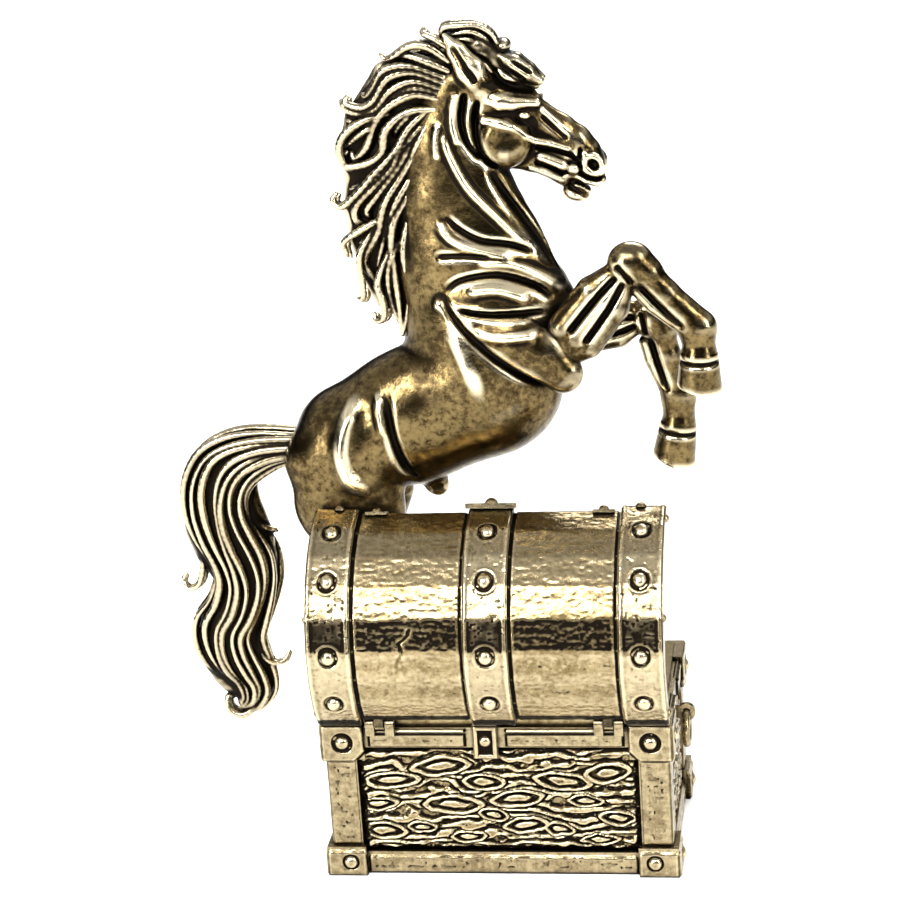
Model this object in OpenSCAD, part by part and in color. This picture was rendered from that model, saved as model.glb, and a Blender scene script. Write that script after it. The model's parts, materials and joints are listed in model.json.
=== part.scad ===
// Cast brass desk ornament: a horse rears out of an open treasure chest.
// Frame: +Z up, origin at the centre of the chest's underside, hinge side towards -Y,
// and the horse faces +X.

/* [Chest base] */
// Width of the chest over its corner brackets, along X
chest_w = 36; // [34:0.5:40]
// Depth of the chest over its corner brackets, along Y
chest_d = 21.6; // [20.8:0.2:24]
// Height of the base over its top brackets
base_h = 17; // [16:0.5:19]
// Thickness of the wall panels
panel_t = 1.1; // [0.9:0.1:1.3]
// Thickness of the floor
floor_t = 1.6; // [1.4:0.1:2]

/* [Lid] */
// Height of the arch above the lid's straight rim
arch_h = 6.4; // [5.5:0.1:7.2]
// Height of the lid's straight rim
rim_h = 0.8; // [0.6:0.1:1.2]
// Number of slats across the arch
slats = 8; // [6:2:10]
// How far the lid stands open at rest, in degrees from closed
lid_open = 70; // [66:1:72]

/* [Fittings] */
// How far bands and brackets stand proud of what they wrap
strap_t = 0.5; // [0.3:0.05:0.55]
// Radius of a rivet head
rivet_r = 0.62; // [0.4:0.02:0.7]
// Radius of the hinge pins
pin_r = 0.3; // [0.25:0.01:0.35]
// Centre radius of the side rings
ring_r = 1.75; // [1.5:0.05:2]
// Radius of the wire of the side rings
ring_wire_r = 0.4; // [0.3:0.02:0.45]

/* [Horse] */
// Where the horse's middle plane stands, along Y
horse_y = 2.5; // [2.4:0.1:3]

/* [Hidden] */
$fn = 48;
sculpt_fn = 14;   // facets of the spheres that the sculpted pieces are hulled from
limb_fn = 12;     // the same, for slender pieces

brass = [0.72, 0.58, 0.34];
dark_brass = [0.42, 0.33, 0.18];
bright_brass = [0.84, 0.70, 0.42];

// base frame
post_proud = 0.6;                       // posts and rails over the panels
post_w = 3.1;
rail_h = 2.5;
top_rail_z = base_h - 2.6;
top_rail_h = 2.2;
frame_w = chest_w - 0.8;                // outside of posts and rails
frame_d = chest_d - 0.8;
box_w = frame_w - 2 * post_proud;       // outside of the panels
box_d = frame_d - 2 * post_proud;
bracket_t = (chest_w - frame_w) / 2;
bracket_w = 4.4;
top_bracket_h = 4;
foot_bracket_w = 4.1;
foot_bracket_t = 0.65;
foot_bracket_h = 3.3;
lip_top = base_h + 0.2;                 // the panels' top edge, inside the rails
plate_w = 2.5;                          // small plate in the middle of the hinge side
plate_x = -1;                           // it sits a little off the middle
plate_h = 3.7;

// lid, drawn closed and then turned open about the hinge line
lid_w = chest_w - 1;
lid_c = frame_d / 2;                    // half the lid's depth
lid_r = (lid_c * lid_c + arch_h * arch_h) / (2 * arch_h);
lid_half = asin(lid_c / lid_r);
slat_angle = 2 * lid_half / slats;
band_face = (lid_r + strap_t) * cos(slat_angle / 2);  // a band's flat faces, from the arch's centre
lid_t = 1.1;
lid_z = base_h + 0.3;                   // plane of the closed rim
arc_z = rim_h + arch_h - lid_r;         // centre of the arch above the rim plane
band_w = 4.5;
end_band_x = chest_w / 2 - 0.1 - band_w / 2;
centre_band_x = 0.2;                    // the middle band sits a little off the middle
end_border_w = 0.9;
hinge_y = -chest_d / 2 - 0.1;
hinge_z = lid_z;
hinge_x = 11.7;
knuckle_r = 0.62;
knuckle_w = 0.9;
knuckle_gap = 0.12;
pin_clear = 0.04;

// side rings
ring_x = chest_w / 2 + 0.75;
swing_z = base_h - 3.4;                 // the ring turns in its lug about this height
staple_w = 3;
lug_t = 0.6;
lug_r = 0.95;
eye_clear = 0.1;

// heap of treasure that fills the base and carries the horse
heap_gap = 0.1;
heap_top = 12.2;
heap_w = box_w - 2 * panel_t - 2 * heap_gap;
heap_d = box_d - 2 * panel_t - 2 * heap_gap;
screw_x = -9;
screw_r = 1;
screw_clear = 0.1;
screw_head_r = 2;
screw_sunk = 0.1;                       // its head lies this far above the underside
screw_top = 8;

// ---------- helpers ----------

// box given by its low and high corners
module span_box(low, high) {
    translate(low) cube(high - low);
}

// the same shape on the +X and -X sides
module both_x() {
    children();
    mirror([1, 0, 0]) children();
}

// the same shape on the +Y and -Y sides
module both_y() {
    children();
    mirror([0, 1, 0]) children();
}

// domed rivet head, standing on the XY plane and sunk a hair below it
module rivet(r = rivet_r) {
    intersection() {
        translate([0, 0, -0.25 * r]) sphere(r);
        cylinder(r = 2 * r, h = 2 * r);
    }
}

// turns what is drawn with its head up so that it points along an axis
module facing_minus_y() { rotate([90, 0, 0]) children(); }
module facing_plus_x() { rotate([0, 90, 0]) children(); }

// moves what is drawn on the closed lid to the lid's resting angle
module on_lid() {
    translate([0, hinge_y, hinge_z])
        rotate([lid_open, 0, 0])
            translate([0, -hinge_y, 0])
                children();
}

// ball with its own width along Y: p = [x, y, z, radius, width ratio]
module blob(p) {
    translate([p[0], p[1], p[2]]) scale([1, p[4], 1]) sphere(p[3]);
}

// hulls each neighbouring pair of blobs into one tapered piece
module chain(points) {
    for (i = [0 : len(points) - 2])
        hull() {
            blob(points[i]);
            blob(points[i + 1]);
        }
}

// ---------- chest base ----------

// floor between the panels, countersunk from below for the screw
module floor_plate() {
    color(dark_brass)
        difference() {
            span_box([-box_w / 2 + panel_t, -box_d / 2 + panel_t, 0],
                     [box_w / 2 - panel_t, box_d / 2 - panel_t, floor_t]);
            translate([screw_x, horse_y, 0]) {
                cylinder(r = screw_r + screw_clear, h = 2 * floor_t);
                translate([0, 0, screw_sunk])
                    cylinder(r1 = screw_head_r, r2 = screw_r + screw_clear,
                             h = screw_head_r - screw_r - screw_clear);
                translate([0, 0, -1]) cylinder(r = screw_head_r, h = 1 + screw_sunk);
            }
        }
}

module panel_hinge_side() {
    color(brass)
        span_box([-box_w / 2, -box_d / 2, 0], [box_w / 2, -box_d / 2 + panel_t, lip_top]);
}

module panel_front() {
    color(brass) mirror([0, 1, 0]) panel_hinge_side();
}

module panel_right() {
    color(brass)
        span_box([box_w / 2 - panel_t, -box_d / 2 + panel_t, 0],
                 [box_w / 2, box_d / 2 - panel_t, lip_top]);
}

module panel_left() {
    color(brass) mirror([1, 0, 0]) panel_right();
}

// one post wraps the box's corner as an angle
module corner_posts() {
    color(bright_brass)
        both_x() both_y()
            difference() {
                span_box([frame_w / 2 - post_w, frame_d / 2 - post_w, rail_h],
                         [frame_w / 2, frame_d / 2, top_rail_z]);
                span_box([frame_w / 2 - post_w - 1, frame_d / 2 - post_w - 1, rail_h - 1],
                         [box_w / 2, box_d / 2, top_rail_z + 1]);
            }
}

// rails along the two long sides, up to the frame's corners
module long_rails(z, h) {
    color(brass)
        both_y()
            span_box([-frame_w / 2, box_d / 2, z], [frame_w / 2, frame_d / 2, z + h]);
}

// rails across the two ends, between the long ones
module end_rails(z, h) {
    color(brass)
        both_x()
            span_box([box_w / 2, -box_d / 2, z], [frame_w / 2, box_d / 2, z + h]);
}

module bottom_rails_long() { long_rails(0, rail_h); }
module bottom_rails_end() { end_rails(0, rail_h); }
module top_rails_long() { long_rails(top_rail_z, top_rail_h); }
module top_rails_end() { end_rails(top_rail_z, top_rail_h); }

// outline of one arm of a bracket, with its inner corner cut off by cut
module bracket_outline(w, h, cut) {
    polygon([[0, 0], [-w, 0], [-w, -h + cut], [-w + cut, -h], [0, -h]]);
}

// bracket of two arms of thickness t at the +X +Y corner; its top is at z = 0
module bracket(w, h, cut, t) {
    x = frame_w / 2 + t;
    y = frame_d / 2 + t;
    translate([x, y, 0]) rotate([90, 0, 0]) linear_extrude(t) bracket_outline(w, h, cut);
    translate([x - t, y - t, 0]) rotate([90, 0, 90]) linear_extrude(t)
        bracket_outline(w - t, h, cut);
}

module top_brackets() {
    color(bright_brass)
        both_x() both_y() {
            translate([0, 0, base_h]) bracket(bracket_w, top_bracket_h, 1.1, bracket_t);
            // cap over the corner, on top of the rails and outside the panels' lip
            difference() {
                span_box([frame_w / 2 - bracket_w + bracket_t, frame_d / 2 - bracket_w + bracket_t,
                          top_rail_z + top_rail_h],
                         [frame_w / 2, frame_d / 2, base_h]);
                span_box([frame_w / 2 - 2 * bracket_w, frame_d / 2 - 2 * bracket_w, base_h - 3],
                         [box_w / 2, box_d / 2, base_h + 1]);
            }
        }
}

module foot_brackets() {
    color(bright_brass)
        both_x() both_y()
            translate([0, 0, foot_bracket_h])
                bracket(foot_bracket_w, foot_bracket_h, 0, foot_bracket_t);
}

// small plate on the hinge side, with a sunk field round its rivet
module hinge_side_plate() {
    color(bright_brass)
        translate([plate_x, -frame_d / 2, base_h - plate_h])
            difference() {
                span_box([-plate_w / 2, -bracket_t, 0], [plate_w / 2, 0, plate_h]);
                span_box([-plate_w / 2 + 0.5, -1, 0.9], [plate_w / 2 - 0.5, -0.2, plate_h - 0.4]);
            }
}

// plate with a keyhole on the front
module lock_plate() {
    color(bright_brass)
        translate([0, frame_d / 2 + bracket_t, base_h - 5.6])
            rotate([90, 0, 0]) linear_extrude(bracket_t)
                difference() {
                    union() {
                        translate([-2.6, 1.6]) square([5.2, 3.9]);
                        polygon([[-2.6, 1.6], [-1.2, 0], [1.2, 0], [2.6, 1.6]]);
                    }
                    translate([0, 2.4]) circle(0.5);
                    translate([-0.22, 1]) square([0.44, 1.4]);
                }
}

module base_rivets() {
    side_in = 2.2;
    color(bright_brass) {
        // on both long sides and on both ends, at the top and foot brackets
        both_x() both_y() {
            for (level = [[base_h - 1.9, bracket_t], [foot_bracket_h / 2, foot_bracket_t]]) {
                translate([chest_w / 2 - side_in, -frame_d / 2 - level[1], level[0]])
                    facing_minus_y() rivet();
                translate([frame_w / 2 + level[1], chest_d / 2 - side_in, level[0]])
                    facing_plus_x() rivet();
            }
            translate([chest_w / 2 - side_in, chest_d / 2 - bracket_t - post_proud / 2, base_h])
                rivet(0.3);
        }
        translate([plate_x, -frame_d / 2 - 0.2, base_h - 1.7]) facing_minus_y() rivet(0.55);
        for (x = [-1.9, 1.9])
            translate([x, chest_d / 2, base_h - 1]) rotate([-90, 0, 0]) rivet(0.36);
    }
}

// ---------- hinges ----------

// the base's two outer knuckles of each hinge, with the feet that hold them to the rail
module hinge_knuckles_base() {
    inner = knuckle_w / 2 + knuckle_gap;
    color(bright_brass)
        both_x()
            for (side = [-1, 1]) {
                x0 = hinge_x + (side < 0 ? -inner - knuckle_w : inner);
                difference() {
                    union() {
                        translate([x0, hinge_y, hinge_z]) facing_plus_x()
                            cylinder(r = knuckle_r, h = knuckle_w);
                        span_box([x0, hinge_y - knuckle_r + 0.15, base_h - 0.9],
                                 [x0 + knuckle_w, -frame_d / 2, hinge_z - 0.2]);
                    }
                    translate([x0 - 1, hinge_y, hinge_z]) facing_plus_x()
                        cylinder(r = pin_r, h = knuckle_w + 2);
                }
            }
}

// the lid's middle knuckle of each hinge, with its arm to the lid's rim
module hinge_knuckles_lid() {
    color(bright_brass)
        both_x()
            on_lid()
                difference() {
                    union() {
                        translate([hinge_x - knuckle_w / 2, hinge_y, 0]) facing_plus_x()
                            cylinder(r = knuckle_r, h = knuckle_w);
                        span_box([hinge_x - knuckle_w / 2, hinge_y - 0.35, 0.2],
                                 [hinge_x + knuckle_w / 2, -lid_c, rim_h + 0.1]);
                    }
                    translate([hinge_x - 2, hinge_y, 0]) facing_plus_x()
                        cylinder(r = pin_r + pin_clear, h = 4);
                }
}

module hinge_pin() {
    length = 3 * knuckle_w + 2 * knuckle_gap;
    translate([hinge_x - length / 2, hinge_y, hinge_z]) facing_plus_x()
        cylinder(r = pin_r, h = length);
}

module hinge_pin_right() { color(dark_brass) hinge_pin(); }

module hinge_pin_left() { color(dark_brass) mirror([1, 0, 0]) hinge_pin(); }

// ---------- side rings ----------

// plate on the end wall with a lug, whose eye holds the top of the ring's wire
module ring_staple_right() {
    color(bright_brass)
        difference() {
            union() {
                span_box([box_w / 2, -staple_w / 2, swing_z - 1.1],
                         [frame_w / 2, staple_w / 2, top_rail_z]);
                span_box([frame_w / 2, -lug_t / 2, swing_z - 0.6],
                         [ring_x, lug_t / 2, swing_z + 0.6]);
                translate([ring_x, -lug_t / 2, swing_z]) rotate([-90, 0, 0])
                    cylinder(r = lug_r, h = lug_t);
            }
            translate([ring_x, -staple_w, swing_z]) rotate([-90, 0, 0])
                cylinder(r = ring_wire_r + eye_clear, h = 2 * staple_w);
        }
}

module ring_staple_left() { mirror([1, 0, 0]) ring_staple_right(); }

// ring that hangs in the lug's eye, flat along the end wall
module side_ring_right() {
    color(bright_brass)
        translate([ring_x, 0, swing_z - ring_r]) facing_plus_x()
            rotate_extrude() translate([ring_r, 0]) circle(ring_wire_r);
}

module side_ring_left() { mirror([1, 0, 0]) side_ring_right(); }

// ---------- lid ----------

// outline of the lid across its depth, offset outwards by grow
function lid_outline(grow) = concat(
    [[-lid_c - grow, 0]],
    [for (i = [-slats / 2 : slats / 2])
        let (a = slat_angle * i)
        [(lid_r + grow) * sin(a), arc_z + (lid_r + grow) * cos(a)]],
    [[lid_c + grow, 0]]);

// stands a drawing of the lid's section up between x0 and x1
module lid_slice(x0, x1) {
    translate([x0, 0, 0]) rotate([90, 0, 90]) linear_extrude(x1 - x0) children();
}

// arched section between two offsets of the lid's outline
module arch_section(outer, inner) {
    difference() {
        polygon(lid_outline(outer));
        polygon(lid_outline(inner));
    }
}

// hollow barrel with end walls, notched at the rim to clear the hinge knuckles
module lid_shell() {
    notch_w = 3 * knuckle_w + 4 * knuckle_gap;
    notch = 0.4;
    color(brass)
        on_lid()
            difference() {
                union() {
                    lid_slice(-lid_w / 2, lid_w / 2) arch_section(0, -lid_t);
                    both_x()
                        lid_slice(lid_w / 2 - lid_t, lid_w / 2) polygon(lid_outline(0));
                }
                both_x()
                    span_box([hinge_x - notch_w / 2, -lid_c - 1, -1],
                             [hinge_x + notch_w / 2, -lid_c + notch, notch]);
            }
}

// band over the arch, centred at x
module lid_strap(x) {
    lid_slice(x - band_w / 2, x + band_w / 2) arch_section(strap_t, 0);
}

// border round the end wall, joined to the end band at side -1 or +1
module lid_end_border(side) {
    inside = side * lid_w / 2;
    outside = side * (end_band_x + band_w / 2);
    lid_slice(min(inside, outside), max(inside, outside))
        arch_section(strap_t, -end_border_w);
}

module lid_end_band(side) {
    color(bright_brass) on_lid() {
        lid_strap(side * end_band_x);
        lid_end_border(side);
    }
}

module lid_band_left() { lid_end_band(-1); }
module lid_band_centre() { color(bright_brass) on_lid() lid_strap(centre_band_x); }
module lid_band_right() { lid_end_band(1); }

// rivets on the bands, square to the arch at four places across it, and on the ends
module lid_rivets() {
    color(bright_brass)
        on_lid() {
            for (x = [-end_band_x, centre_band_x, end_band_x], a = [-45, -18.5, 18.5, 45])
                translate([x, 0, arc_z]) rotate([-face_angle(a), 0, 0])
                    translate([0, band_face * tan(a - face_angle(a)), band_face]) rivet();
            both_x()
                for (a = [-58, 0, 58])
                    translate([chest_w / 2 - 0.1, (lid_r - 0.2) * sin(a),
                               max(1.1, arc_z + (lid_r - 0.25) * cos(a))])
                        facing_plus_x() rivet(0.45);
            for (x = [-end_band_x + 0.3, end_band_x - 0.3])
                translate([x, lid_c + strap_t, 0.95]) rotate([-90, 0, 0]) rivet();
        }
}

// angle across the arch of the middle of the slat that lies at angle a
function face_angle(a) = (floor(a / slat_angle) + 0.5) * slat_angle;

// small plates with a stud on the lid's front edge, above the hinges
module lid_edge_studs() {
    color(bright_brass)
        on_lid()
            both_x()
                translate([hinge_x - 0.1, lid_c, 0]) {
                    span_box([-1.1, 0, 0], [1.1, 0.3, rim_h + 0.6]);
                    translate([0, 0.3, 0.75]) rotate([-90, 0, 0]) rivet(0.58);
                }
}

// hasp on the middle of the lid's front edge; it hangs over the lock when the lid is shut
module lid_hasp() {
    hasp_y = lid_c + strap_t;
    color(bright_brass)
        on_lid()
            translate([centre_band_x, hasp_y, 0]) {
                span_box([-2.6, 0, -0.2], [2.6, 0.55, 1.5]);
                span_box([-1.5, 0.1, -3.2], [1.5, 0.55, -0.2]);
                translate([0, 0.55, 0.7]) rotate([-90, 0, 0]) rivet(0.72);
            }
}

// ---------- inside ----------

// mound of treasure, lower towards its edges, drilled for the screw
module treasure_heap() {
    edge_z = 9.5;
    color(brass)
        difference() {
            hull() {
                span_box([-heap_w / 2, -heap_d / 2, floor_t], [heap_w / 2, heap_d / 2, edge_z]);
                span_box([-heap_w / 2 + 3, -heap_d / 2 + 2, floor_t],
                         [heap_w / 2 - 6, heap_d / 2 - 0.8, heap_top]);
            }
            translate([screw_x, horse_y, 0]) cylinder(r = screw_r, h = screw_top);
        }
}

// countersunk screw that holds the heap, and the horse on it, down to the floor
module floor_screw() {
    color(dark_brass)
        translate([screw_x, horse_y, screw_sunk])
            difference() {
                union() {
                    cylinder(r = screw_r, h = screw_top - screw_sunk);
                    cylinder(r1 = screw_head_r, r2 = screw_r, h = screw_head_r - screw_r);
                }
                span_box([-screw_head_r, -0.2, -1], [screw_head_r, 0.2, 0.4]);
            }
}

// ---------- horse ----------

// trunk, neck, head and both hind legs are one casting
module horse_body() {
    c = horse_y;
    $fn = sculpt_fn;
    color(brass) union() {
        // trunk: haunch, loin, ribs, shoulder
        chain([
            [-15.6, c, 42.6, 6.0, 0.92],
            [-9.0, c, 45.6, 6.0, 0.85],
            [-1.5, c, 48.4, 7.0, 0.82],
            [0.6, c, 54.5, 8.2, 0.68]
        ]);
        // neck, from the shoulder up to the poll
        chain([
            [0.2, c, 56.0, 8.9, 0.62],
            [-1.4, c, 64.0, 6.9, 0.56],
            [-2.4, c, 72.0, 4.8, 0.58],
            [-0.4, c, 79.0, 3.4, 0.70]
        ]);
        // head: poll, cheek, nose, muzzle
        chain([
            [-0.2, c, 79.6, 2.8, 0.80],
            [3.2, c, 76.0, 3.5, 0.72],
            [10.4, c, 72.2, 1.7, 0.85],
            [11.4, c, 71.2, 1.6, 1.0]
        ]);
        // lower jaw
        chain([[3.2, c, 74.4, 3.0, 0.7], [9.4, c, 69.6, 1.1, 0.9]]);
        // ears
        both_ears(c) chain([[0, 0, 0, 0.9, 0.8], [-1.6, 0.4, 4.2, 0.35, 1]]);
        hind_leg(c - 3.2, 0);
        hind_leg(c + 3.2, 2.2);
    }
}

module both_ears(c) {
    for (side = [-1, 1])
        translate([-0.2, c + side * 1.5, 80.6]) mirror([0, side < 0 ? 1 : 0, 0]) children();
}

// hind leg from the hip to the hoof, whose hoof stands forward by step
module hind_leg(y, step) {
    $fn = limb_fn;
    chain([
        [-15.4, y, 43.0, 5.4, 0.5],
        [-14.2, y, 37.4, 5.2, 0.5],
        [-15.2 + step, y, 27.4, 1.7, 0.9],
        [-12.8 + step, y, 19.0, 1.2, 1],
        [-11.0 + step, y, 15.4, 1.3, 1]
    ]);
    translate([-10.0 + step, y, heap_top])
        cylinder(r1 = 2.0, r2 = 1.3, h = 3);
}

// mane along the crest of the neck
module mane() {
    c = horse_y;
    $fn = limb_fn;
    color(dark_brass)
        chain([
            [-3.4, c, 83.4, 1.6, 1.2],
            [-8.2, c, 78.2, 3.1, 1.0],
            [-10.2, c, 71.0, 3.5, 0.9],
            [-10.8, c, 64.0, 3.2, 0.9],
            [-9.2, c, 56.0, 1.4, 1.0]
        ]);
}

// forelock, from between the ears down the forehead
module forelock() {
    c = horse_y;
    $fn = limb_fn;
    color(dark_brass)
        chain([
            [-2.2, c, 84.9, 0.8, 1.2],
            [2.0, c, 84.4, 1.3, 1.3],
            [6.4, c, 80.0, 0.8, 1.6]
        ]);
}

// tail: out of the rump, round and down in waves
module tail() {
    c = horse_y;
    $fn = limb_fn;
    color(dark_brass)
        chain([
            [-21.6, c, 43.0, 1.6, 0.9],
            [-28.4, c, 41.8, 2.4, 0.9],
            [-31.0, c, 36.6, 2.9, 0.9],
            [-27.8, c, 29.6, 3.6, 0.8],
            [-28.4, c, 21.8, 3.3, 0.8],
            [-26.2, c, 15.8, 1.8, 0.9]
        ]);
}

// foreleg folded at the knee: elbow, knee, fetlock, hoof
module foreleg(y, elbow, knee, fetlock, hoof, hoof_tilt) {
    $fn = limb_fn;
    chain([
        [elbow[0], y, elbow[1], 3.0, 0.7],
        [knee[0], y, knee[1], 2.2, 0.8],
        [fetlock[0], y, fetlock[1], 1.6, 0.9],
        [hoof[0], y, hoof[1], 1.4, 1]
    ]);
    translate([hoof[0], y, hoof[1]]) rotate([0, hoof_tilt, 0])
        translate([0, 0, -3.2]) cylinder(r1 = 1.9, r2 = 1.3, h = 3);
}

module right_foreleg() {
    color(brass)
        foreleg(horse_y - 4.6, [8.8, 53.6], [15.8, 62.6], [21.8, 55.2], [21.8, 52.6], 10);
}

module left_foreleg() {
    color(brass)
        foreleg(horse_y + 4.6, [8.8, 53.0], [14.8, 55.6], [18.4, 45.6], [18.0, 42.8], 12);
}

// ---------- what is drawn ----------

floor_plate();
panel_hinge_side();
panel_front();
panel_left();
panel_right();
corner_posts();
bottom_rails_long();
bottom_rails_end();
top_rails_long();
top_rails_end();
top_brackets();
foot_brackets();
hinge_side_plate();
lock_plate();
base_rivets();
hinge_knuckles_base();
hinge_pin_left();
hinge_pin_right();
ring_staple_left();
ring_staple_right();
side_ring_left();
side_ring_right();
lid_shell();
lid_band_left();
lid_band_centre();
lid_band_right();
lid_rivets();
lid_edge_studs();
lid_hasp();
hinge_knuckles_lid();
treasure_heap();
floor_screw();
horse_body();
mane();
forelock();
tail();
right_foreleg();
left_foreleg();
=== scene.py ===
"""Rearing horse on a treasure chest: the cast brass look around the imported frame.

All shapes are built in millimetres in the frame's own axes (+Z up, the horse faces +X, the
chest's hinge side is towards -Y) and turned into metres when a mesh is made.
"""

import json
import math

import bpy
import numpy as np
import openvdb
from mathutils import Matrix, Vector


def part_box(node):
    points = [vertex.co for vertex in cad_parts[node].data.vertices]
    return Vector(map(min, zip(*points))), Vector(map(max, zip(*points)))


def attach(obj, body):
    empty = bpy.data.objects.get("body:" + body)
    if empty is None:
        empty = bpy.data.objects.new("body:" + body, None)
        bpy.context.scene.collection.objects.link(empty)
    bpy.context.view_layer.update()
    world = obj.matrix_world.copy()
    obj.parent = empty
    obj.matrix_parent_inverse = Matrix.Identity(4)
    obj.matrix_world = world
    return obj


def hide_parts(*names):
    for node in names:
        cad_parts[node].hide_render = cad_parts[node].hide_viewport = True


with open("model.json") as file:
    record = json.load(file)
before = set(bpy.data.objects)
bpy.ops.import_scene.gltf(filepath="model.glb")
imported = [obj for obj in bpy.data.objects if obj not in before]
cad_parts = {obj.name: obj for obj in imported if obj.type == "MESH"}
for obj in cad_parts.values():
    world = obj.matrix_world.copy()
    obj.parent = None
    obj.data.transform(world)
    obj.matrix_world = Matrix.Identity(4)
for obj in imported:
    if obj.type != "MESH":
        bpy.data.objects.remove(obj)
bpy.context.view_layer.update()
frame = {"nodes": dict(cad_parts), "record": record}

MM = 0.001


def mm_box(node):
    """Lowest and highest corner of a CAD node, in millimetres."""
    low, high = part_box(node)
    return np.array(low) / MM, np.array(high) / MM


heap_low, heap_high = mm_box("treasure_heap")
horse_low, horse_high = mm_box("horse_body")
MID = (horse_low[1] + horse_high[1]) / 2      # the horse's middle plane, along Y
HEAP_TOP = heap_high[2]


# ---------------------------------------------------------------- curves and meshes

def spline(points, per_span):
    """Catmull-Rom curve through points of any width, sampled evenly in each span."""
    p = np.array(points, float)
    ends = np.vstack([2 * p[0] - p[1], p, 2 * p[-1] - p[-2]])
    t = np.linspace(0, 1, per_span, endpoint=False)[:, None]
    out = []
    for a, b, c, d in zip(ends[:-3], ends[1:-2], ends[2:-1], ends[3:]):
        out.append(0.5 * (2 * b + (c - a) * t + (2 * a - 5 * b + 4 * c - d) * t ** 2
                          + (3 * b - a - 3 * c + d) * t ** 3))
    return np.vstack(out + [p[-1:]])


def mesh_object(name, shape, body, slot, *replaced):
    """Makes a smooth-shaded object that rides on a body, in its slot's material. shape is the
    points in millimetres, the quads, and how sunk (above 0) or proud (below 0) each point is, with
    painted shade and dark painted reflections added above 0 and painted highlights and bright
    painted reflections below 0, or None. The CAD nodes that it replaces come last."""
    points, faces, hollow = shape
    faces = np.asarray(faces, np.int32)
    points = np.asarray(points, np.float32) * MM
    corners = faces.shape[1]
    mesh = bpy.data.meshes.new(name)
    mesh.vertices.add(len(points))
    mesh.vertices.foreach_set("co", points.ravel())
    mesh.loops.add(faces.size)
    mesh.loops.foreach_set("vertex_index", faces.ravel())
    mesh.polygons.add(len(faces))
    mesh.polygons.foreach_set("loop_start", np.arange(0, faces.size, corners, dtype=np.int32))
    if hollow is not None:
        layer = mesh.attributes.new("hollow", "FLOAT", "POINT")
        layer.data.foreach_set("value", np.clip(hollow, -2, 2).astype(np.float32))
    mesh.update(calc_edges=True)
    mesh.validate()
    mesh.polygons.foreach_set("use_smooth", np.ones(len(mesh.polygons), bool))
    mesh.materials.append(MATERIALS[slot])
    piece = bpy.data.objects.new(name, mesh)
    bpy.context.scene.collection.objects.link(piece)
    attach(piece, body)
    if replaced:
        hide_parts(*replaced)


def noise(x, y, cell_x, cell_y, seed):
    """Smooth value noise from -1 to 1, with one random value at each cell's corner."""
    table = np.random.default_rng(seed).uniform(-1, 1, (61, 61))
    u, v = x / cell_x + 300, y / cell_y + 300
    i, j = np.floor(u).astype(int), np.floor(v).astype(int)
    fu, fv = u - i, v - j
    fu, fv = fu * fu * (3 - 2 * fu), fv * fv * (3 - 2 * fv)
    near = table[i % 61, j % 61] * (1 - fu) + table[(i + 1) % 61, j % 61] * fu
    far = table[i % 61, (j + 1) % 61] * (1 - fu) + table[(i + 1) % 61, (j + 1) % 61] * fu
    return near * (1 - fv) + far * fv


def ramp_up(value, low, high):
    """0 below low, 1 above high, and smooth between."""
    t = np.clip((value - low) / (high - low), 0, 1)
    return t * t * (3 - 2 * t)


def inside(u, v, u0, u1, v0, v1):
    """How far each place lies inside a rectangle, below 0 outside it."""
    return np.minimum(np.minimum(u - u0, u1 - u), np.minimum(v - v0, v1 - v))


def unit(vector):
    """The vector at length 1."""
    return vector / np.linalg.norm(vector)


def turned(vector):
    """The XZ vector turned a quarter clockwise."""
    return np.array([vector[1], -vector[0]])


def at(p, y):
    """The XZ point p at depth y."""
    return (float(p[0]), float(y), float(p[1]))


def nearest_on(line, x, z):
    """For each place, its distance from an XZ line, the nearest span and the share along it."""
    shape = np.broadcast(x, z).shape
    best, span, share = np.full(shape, 99.0), np.zeros(shape, int), np.zeros(shape)
    for i, (a, b) in enumerate(zip(line[:-1], line[1:])):
        along = b - a
        t = np.clip(((x - a[0]) * along[0] + (z - a[1]) * along[1])
                    / max(along @ along, 1e-9), 0, 1)
        distance = np.hypot(x - a[0] - t * along[0], z - a[1] - t * along[1])
        nearer = distance < best
        best = np.where(nearer, distance, best)
        span = np.where(nearer, i, span)
        share = np.where(nearer, t, share)
    return best, span, share


def skin_mesh(u_range, v_range, step, place, height, depth, tone_marks=None):
    """Points, quads and hollows of a closed skin over a surface. place(u, v) gives points and
    outward directions, height(u, v) how proud it is, depth how far its back lies below, and the
    last function adds to the hollows: black patina and dark joints, and painted shade and painted
    reflections where the caller paints them."""
    nu = max(int(round((u_range[1] - u_range[0]) / step)), 2) + 1
    nv = max(int(round((v_range[1] - v_range[0]) / step)), 2) + 1
    u, v = np.meshgrid(np.linspace(*u_range, nu), np.linspace(*v_range, nv), indexing="ij")
    points, outward = place(u, v)
    rise = np.maximum(height(u, v), 0.02 - depth)
    sunk = (blurred(rise, 3) - rise) / 0.07
    # the caller's marks: patina and dark joints, and painted shade and painted reflections
    if tone_marks:
        sunk = sunk + tone_marks(u, v)
    top = points + outward * rise[..., None]
    back = points - outward * depth
    index = np.arange(nu * nv).reshape(nu, nv)
    sheet = np.stack([index[:-1, :-1], index[1:, :-1], index[1:, 1:], index[:-1, 1:]], -1)
    sheet = sheet.reshape(-1, 4)
    faces = [sheet, sheet[:, ::-1] + nu * nv]
    for edge in (index[:, 0], index[-1, :], index[::-1, -1], index[0, ::-1]):
        low = edge + nu * nv
        faces.append(np.stack([edge[1:], edge[:-1], low[:-1], low[1:]], -1))
    hollow = np.concatenate([sunk.ravel(), np.zeros(nu * nv)])
    return np.vstack([top.reshape(-1, 3), back.reshape(-1, 3)]), np.vstack(faces), hollow


def rivet_head(r, radius, height):
    """A rivet's round head, as a height over its seat at the distance r from its middle."""
    return height * np.sqrt(np.clip(1 - (r / radius) ** 2, 0, 1))


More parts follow.
